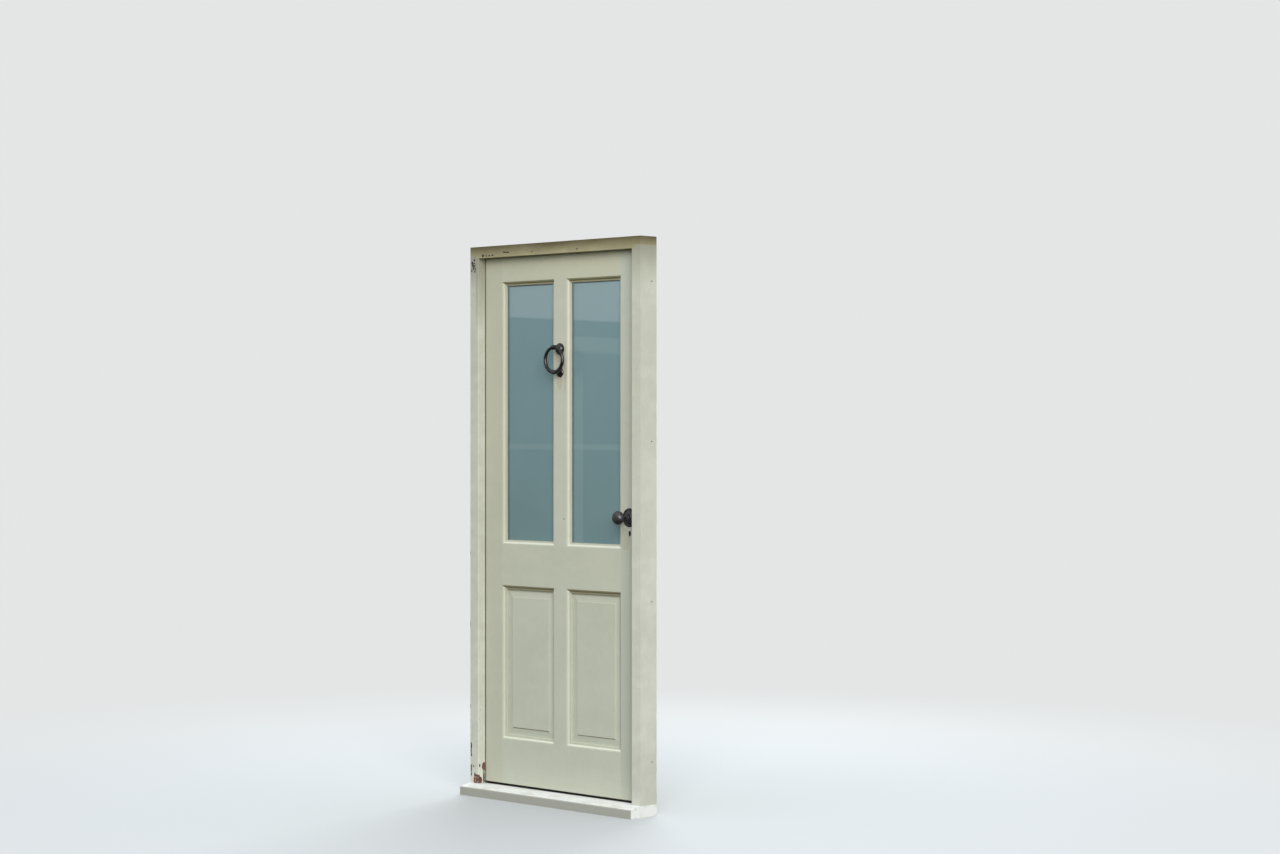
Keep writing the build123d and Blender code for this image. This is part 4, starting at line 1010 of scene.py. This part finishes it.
@dataclass
class DoorFrame:
    """Linings, planted stops and head, with the hinge and strike plates let into them."""

    face_y: float = -38.0
    reveal_x: float = -409.0
    outer_x: float = -453.0

    def foot_wear(self) -> tuple[Patch, ...]:
        """The bare places at the foot of the hinge side and the chips down its outer edge.

        Returns:
            The worn places.
        """
        face, reveal, outer = self.face_y, self.reveal_x, self.outer_x
        bare = (
            ((-417, face, 53), (18, 12, 22), 0.42),
            ((reveal, -31, 50), (6, 13, 16), 0.45),
            ((reveal, -8, 103), (6, 10.5, 16), 0.4),
        )
        chips = (
            ((reveal, -9, 62), (5, 3.8, 30), 0.3),
            ((-428, face, 72), (4, 5, 9), 0.5),
            ((outer + 5.5, face, 181), (4, 6, 13), 0.7),
            ((outer + 4.5, face, 161), (2.6, 6, 9), 0.75),
            ((outer + 6, face, 147), (2.6, 6, 6), 0.75),
            ((outer + 5, face, 97), (3, 6, 17), 0.75),
            ((outer + 6, face, 73), (3, 6, 7), 0.75),
            ((-436, face, 104), (3, 5, 4), 0.6),
            ((reveal, -30, 108), (4, 3.5, 6), 0.6),
            ((outer, face, 330), (3, 4, 9), 0.7),
            ((outer, face, 640), (2.5, 4, 12), 0.7),
            ((outer, face, 905), (2.5, 4, 7), 0.7),
        )
        return patches(Wear.BARE_WOOD, bare) + patches(Wear.DARK_CHIP, chips)

    def face_chips(self, *rows: tuple[float, float, float, float, float]) -> tuple[Patch, ...]:
        """Makes chips on the outer face from rows of X, Z, half width, half height and raggedness."""
        chips = (((x, self.face_y, z), (wide, 4, high), ragged) for x, z, wide, high, ragged in rows)
        return patches(Wear.DARK_CHIP, tuple(chips))

    def top_wear(self) -> tuple[Patch, ...]:
        """The flaked specks near the top of the hinge side.

        Returns:
            The worn places.
        """
        return self.face_chips(
            (-430, 2013, 4.5, 4.5, 0.75),
            (-442, 2003, 5.5, 5.5, 0.8),
            (-432, 2001, 4, 4, 0.8),
            (-439, 1993, 5.5, 6, 0.85),
            (-429, 1990, 4, 5, 0.85),
            (-435, 1982, 4.5, 6, 0.85),
            (-425, 1980, 3.5, 4, 0.8),
            (-428, 1970, 4, 5, 0.8),
            (-445, 1974, 3.5, 5, 0.8),
        )

    def head_wear(self) -> tuple[Patch, ...]:
        """The chips along the lower edge of the head.

        Returns:
            The worn places.
        """
        return self.face_chips(
            (-382, 2028, 5.5, 6.5, 0.5),
            (-364, 2026.5, 4, 4, 0.55),
            (-347, 2026.5, 5, 4, 0.5),
            (-329, 2027, 5, 3.5, 0.6),
            (-262, 2036, 9, 3, 0.6),
            (-244, 2034.5, 8, 3.5, 0.5),
            (-112, 2031, 4, 2.5, 0.6),
            (128, 2030, 5, 2.5, 0.7),
        )

    def checks(self) -> tuple[Patch, ...]:
        """The checked paint down the hinge-side face and reveal.

        Returns:
            The worn places.
        """
        rows = (
            ((-414, -34, 1245), (12, 12, 46), 0.3),
            ((-414, -32, 650), (11, 10, 90), 0.3),
            ((-414, -30, 560), (11, 9, 50), 0.3),
            ((-414, -26, 300), (11, 9, 60), 0.3),
            ((-432, -38, 1850), (5, 6, 60), 0.35),
        )
        return patches(Wear.CHECKED, rows)

    def paint(self) -> None:
        """Paints the sound lock side, the worn hinge side and the head, darkened with grime and painted
        shade.
        """
        sound = BrushedPaint(
            "frame_eggshell_paint",
            upper="#bdbeae",
            lower="#c8c9bc",
            shade="#b1b2a4",
            grain=Grain.UPRIGHT,
            grime_share=0.16,
            # The jambs darken towards the top with grime and painted shade.
            top_darkening_z=(1890.0, 2050.0),
            top_darkening_share=0.6,
        )
        dress(sound.build(), "jamb_lock_side", "stop_lock_side")
        worn = replace(
            sound,
            lower="#cbccbf",
            grime_share=0.22,
            patches=self.foot_wear() + self.top_wear() + self.checks(),
            groove_y=-18.6,
            top_darkening_share=0.65,
        )
        # Each side darkens towards its top with grime and painted shade, between these heights.
        for node, heights in (
            ("jamb_hinge_side", (1890.0, 2050.0)),
            ("stop_hinge_side", (1740.0, 2070.0)),
        ):
            side = replace(worn, name=f"frame_eggshell_paint_{node}", top_darkening_z=heights)
            dress(side.build(), node)
        # The head is darker and yellower all over, and olive towards its top: grime and painted shade.
        head_grime_and_shade = replace(
            sound,
            name="frame_eggshell_paint_sheltered",
            upper="#b3ac88",
            lower="#b3ac88",
            shade="#a49d78",
            grain=Grain.LEVEL,
            grime="#8a8365",
            grime_share=0.5,
            patches=self.head_wear(),
            top_darkening_z=(2008.0, 2058.0),
            top_darkening_share=0.97,
        )
        dress(head_grime_and_shade.build(), "frame_head", "stop_head")

    def dress(self, steel: Material) -> None:
        """Dresses the frame's CAD nodes.

        Args:
            steel: The plates' and screws' finish.
        """
        self.paint()
        dress(steel, "strike_plate", "strike_screws", "hinge_screws_frame")
        dress(steel, *(f"hinge_plate_frame_{place}" for place in ("top", "middle", "bottom")))

    def add_flakes(self) -> None:
        """Adds the curled paint round the bare foot."""
        flakes = PaintFlakes(centre=(-415.0, self.face_y, 56.0), spread=(11.0, 13.0))
        mesh = flakes.chips(self.face_y)
        lifted = BrushedPaint("lifted_paint_flake", "#b4b3a4", "#b4b3a4", "#9c9a8a", Grain.UPRIGHT)
        mesh.materials.append(lifted.build())
        place_piece("paint_flakes_frame_foot", mesh, Body.FRAME)


@dataclass
class GlazedLeaf:
    """The leaf: its framing, panels, panes and beads."""

    keyhole: Span = (362.0, 1003.0)
    handled: tuple[Patch, ...] = (Patch((340.0, 0.0, 982.0), (24.0, 6.0, 40.0), 0.35, Wear.STAIN),)
    # Under the tops of the mouldings round the panels and panes: painted shade, with some dirt.
    moulding_tops: tuple[Ledge, ...] = (
        Ledge((32.0, 318.0), (776.5, 790.5)),
        Ledge((32.0, 318.0), (1913.0, 1927.0)),
    )
    # Under the feet of the raised fields: painted shade.
    field_feet: tuple[Ledge, ...] = (Ledge((77.0, 273.0), (257.0, 260.4)),)
    pane_z: Span = (961.0, 1913.0)
    pane_x: Span = (47.25, 302.0)
    glass_y: Span = (16.0, 22.0)
    sealant_mm: float = 1.8
    pin_pitch: float = 150.0
    pin_radius: float = 1.1
    pin_face_y: float = 44.0
    bead_mid: float = 8.0
    sides: tuple[tuple[str, int], ...] = (("left", -1), ("right", 1))

    def paint(self) -> None:
        """Paints the leaf, with painted shade and some dirt behind the stops and under the head."""
        coat = BrushedPaint(
            "leaf_eggshell_paint_upright",
            upper="#bab9a2",
            lower="#b6b8a8",
            shade="#abad9c",
            grain=Grain.UPRIGHT,
            grime_share=0.06,
            # The margin behind the stops gets painted shade with some dirt.
            covered_margin=407.0,
            # Towards the top, painted shade with some warm grime.
            top_grime_and_shade="#a1916b",
            top_darkening_z=(1955.0, 2030.0),
            top_darkening_share=0.24,
        )
        upright = replace(coat, ledges=self.field_feet).build()
        dress(upright, "muntin_lower", "panel_left", "panel_right")
        dress(upright, "glazing_beads_left", "glazing_beads_right")
        name = "leaf_eggshell_paint_level"
        level = replace(coat, name=name, grain=Grain.LEVEL, ledges=self.moulding_tops)
        dress(level.build(), "top_rail", "lock_rail", "bottom_rail")
        handled = replace(coat, grime_share=0.08, patches=self.handled, stain="#9b9177")
        # The shutting stile is a little greener and darker: painted shade, as from the wall beside it.
        for node, upper, lower, keyhole in (
            ("stile_hinge_side", "#b3b29d", "#b4b5a3", None),
            ("stile_lock_side", "#b2b6a8", "#adb0a2", self.keyhole),
        ):
            name = f"leaf_eggshell_paint_{node}"
            stile = replace(handled, name=name, upper=upper, lower=lower, keyhole=keyhole)
            dress(stile.build(), node)
        stains = (
            ((-2, 0, 1548), (15, 6, 26), 0.3),
            ((27, 0, 1600), (7, 6, 95), 0.35),
            ((2, 0, 1655), (27, 6, 34), 0.3),
        )
        chip = ((20, 0, 1047), (2.5, 2, 3), 0.5)
        stained = BrushedPaint(
            "leaf_eggshell_paint_stained",
            upper="#b8b7a5",
            lower="#babcac",
            shade="#b0b1a0",
            grain=Grain.UPRIGHT,
            grime_share=0.08,
            patches=patches(Wear.STAIN, stains) + patches(Wear.DARK_CHIP, (chip,)),
            stain="#a3937a",
        )
        dress(stained.build(), "muntin_upper")

    def dress(self, steel: Material) -> None:
        """Dresses the leaf's CAD nodes.

        Args:
            steel: The hinge plates' and screws' finish.
        """
        self.paint()
        dress(ObscuredGlass().build(), "pane_left", "pane_right")
        for place in ("top", "middle", "bottom"):
            dress(steel, f"hinge_plate_leaf_{place}", f"hinge_pin_{place}")
        dress(steel, "hinge_screws_leaf")

    def set_round_pane(
        self, name: str, tree: Tree, sign: int, widen: float, sizes: dict[str, float]
    ) -> None:
        """Grows one piece round a pane.

        Args:
            name: The piece's name.
            tree: The geometry tree.
            sign: -1 for the left pane and 1 for the right one.
            widen: How much wider and taller than the sight size it runs, in millimetres.
            sizes: The tree's other inputs, in millimetres.
        """
        low_x, high_x = self.pane_x
        low_z, high_z = self.pane_z
        sizes = {
            "Width": high_x - low_x + widen,
            "Height": high_z - low_z + widen,
            "Middle X": sign * (low_x + high_x) / 2,
            "Middle Z": (low_z + high_z) / 2,
            **sizes,
        }
        grow(name, tree, {label: size * MM for label, size in sizes.items()}, Body.LEAF)

    def add_sealant(self) -> None:
        """Runs a thin dark line of sealant round each pane, outside and inside, that stands in for the
        shadow at the pane's edge.
        """
        tree = SealantLine().build(GlazingSealant().build())
        for side, sign in self.sides:
            for face, y in zip(("outside", "inside"), self.glass_y):
                sizes = {"Thickness": self.sealant_mm / 2, "Face Y": y}
                self.set_round_pane(f"sealant_{side}_{face}", tree, sign, 0.0, sizes)

    def add_pins(self, steel: Material) -> None:
        """Sets the pins that hold the beads.

        Args:
            steel: The pins' finish.
        """
        tree = PinHeads().build(steel)
        sizes = {"Pitch": self.pin_pitch, "Head Radius": self.pin_radius, "Face Y": self.pin_face_y}
        for side, sign in self.sides:
            name = f"bead_pins_{side}"
            self.set_round_pane(name, tree, sign, 2 * self.bead_mid, sizes)


@dataclass
class Lock:
    """Mortice sash lock with its knobs, roses and key plate."""

    iron: JapannedIron = JapannedIron("knob_japanned_iron", roughness=0.32, relief_mm=1.0)

    def dress(self, steel: Material, brass: Material) -> None:
        """Dresses the lock's CAD nodes.

        Args:
            steel: The case's finish.
            brass: The forend's and bolts' finish.
        """
        iron = self.iron.build()
        dress(iron, "rose_outer", "rose_inner", "rose_screws", "knob_outer", "knob_inner")
        dress(iron, "knob_grub_screws", "keyhole_plate_inner", "keyhole_plate_screws")
        dress(steel, "lock_case", "lock_cover", "latch_spring", "knob_spindle", "lock_follower")
        dress(brass, "lock_forend", "forend_screws", "lock_levers", "latch_bolt", "deadbolt")


@dataclass
class Knocker:
    """Ring knocker on its boss, with the strike below."""

    iron: JapannedIron = JapannedIron("knocker_japanned_iron", "#0e0f12", "#262427", 0.24, 6.0, 0.9)

    def dress(self, steel: Material) -> None:
        """Dresses the knocker in iron and its nut in steel."""
        dress(self.iron.build(), "knocker_boss", "knocker_ring", "knocker_strike")
        dress(steel, "knocker_nut")


@dataclass(frozen=True)
class SoftLamp:
    """A square lamp: where it hangs, its side in metres, its power in watts and its colour."""

    name: str
    at: Point
    side: float
    power: float
    colour: str
    aim: Point = (0.0, 0.0, 1.1)

    def hang(self) -> None:
        """Hangs the lamp, turned to the point that it faces."""
        data = bpy.data.lights.new(self.name, "AREA")
        data.shape = "SQUARE"
        data.size = self.side
        data.energy = self.power
        data.color = hex_to_linear(self.colour)[:3]
        lamp = add_object(self.name, data)
        lamp.location = self.at
        lamp.rotation_euler = (Vector(self.aim) - Vector(self.at)).to_track_quat("-Z", "Y").to_euler()


@dataclass
class Studio:
    """Pale floor, plain soft light and the camera at the photograph's angle."""

    floor_half: float = 60.0
    camera_at: Point = (7.1252, -6.7423, 1.3840)
    camera_turn: float = 44.87
    lens: float = 75.15
    sensor: float = 36.0
    view_end: float = 200.0
    backdrop: str = "#e4e6e6"
    sky: str = "#f2f6fa"
    sky_strength: Span = (0.61, 1.08)
    sky_rise: Span = (0.05, 0.85)
    # The wide key lamp far off in front, and a weaker one behind.
    lamps: tuple[SoftLamp, ...] = (
        SoftLamp("sky_key", (10.0, -8.4, 5.6), 8.0, 2180.0, "#fdfeff"),
        SoftLamp("sky_back", (-3.5, 5.2, 4.2), 4.0, 420.0, "#f8fbff"),
    )

    def floor(self) -> None:
        """Lays the floor."""
        half = self.floor_half
        mesh = bpy.data.meshes.new("studio_floor")
        corners = [(-half, -half, 0.0), (half, -half, 0.0), (half, half, 0.0), (-half, half, 0.0)]
        mesh.from_pydata(corners, [], [(0, 1, 2, 3)])
        mesh.materials.append(PaleStudioFloor().build())
        add_object("studio_floor", mesh)

    def world(self) -> None:
        """Sets a sky that is brighter overhead, and the pale background."""
        world = bpy.data.worlds.new("studio_world")
        bpy.context.scene.world = world
        world.use_nodes = True
        world.node_tree.nodes.clear()
        make = NodeWriter(world.node_tree)
        path = make.add("ShaderNodeLightPath").outputs
        seen = make.largest(path["Is Camera Ray"], path["Is Transmission Ray"])
        incoming = make.add("ShaderNodeNewGeometry").outputs["Incoming"]
        rise = make.add("ShaderNodeSeparateXYZ", {0: incoming}).outputs["Z"]
        strength = make.spread(make.math("ABSOLUTE", rise), self.sky_strength, *self.sky_rise)
        sky, backdrop = hex_to_linear(self.sky), hex_to_linear(self.backdrop)
        light = make.out("ShaderNodeBackground", {"Color": sky, "Strength": strength})
        shown = make.out("ShaderNodeBackground", {"Color": backdrop, "Strength": 1.0})
        both = make.out("ShaderNodeMixShader", {0: seen, 1: light, 2: shown})
        make.add("ShaderNodeOutputWorld", {"Surface": both})

    def camera(self) -> None:
        """Stands the camera where the photograph was taken."""
        data = bpy.data.cameras.new("photo_camera")
        data.lens = self.lens
        data.sensor_width = self.sensor
        data.clip_end = self.view_end
        camera = add_object("photo_camera", data)
        camera.location = self.camera_at
        camera.rotation_euler = (math.radians(90.0), 0.0, math.radians(self.camera_turn))
        bpy.context.scene.camera = camera

    def build(self) -> None:
        """Builds the whole studio."""
        self.floor()
        self.world()
        for lamp in self.lamps:
            lamp.hang()
        self.camera()
        bpy.context.scene.view_settings.view_transform = "Standard"


def main() -> None:
    """Builds the sub-assemblies in order."""
    logging.basicConfig(level=logging.INFO, format="%(name)s: %(message)s")
    steel = BrushedMetal("satin_plated_steel", "#b7b7b3", "#8f8f8a").build()
    brass = BrushedMetal("dull_cast_brass", "#b89a5c", "#8d7444", 0.36).build()
    Threshold().dress()
    door_frame = DoorFrame()
    door_frame.dress(steel)
    door_frame.add_flakes()
    leaf = GlazedLeaf()
    leaf.dress(steel)
    leaf.add_sealant()
    leaf.add_pins(steel)
    Lock().dress(steel, brass)
    Knocker().dress(steel)
    Studio().build()


if __name__ == "__main__":
    main()
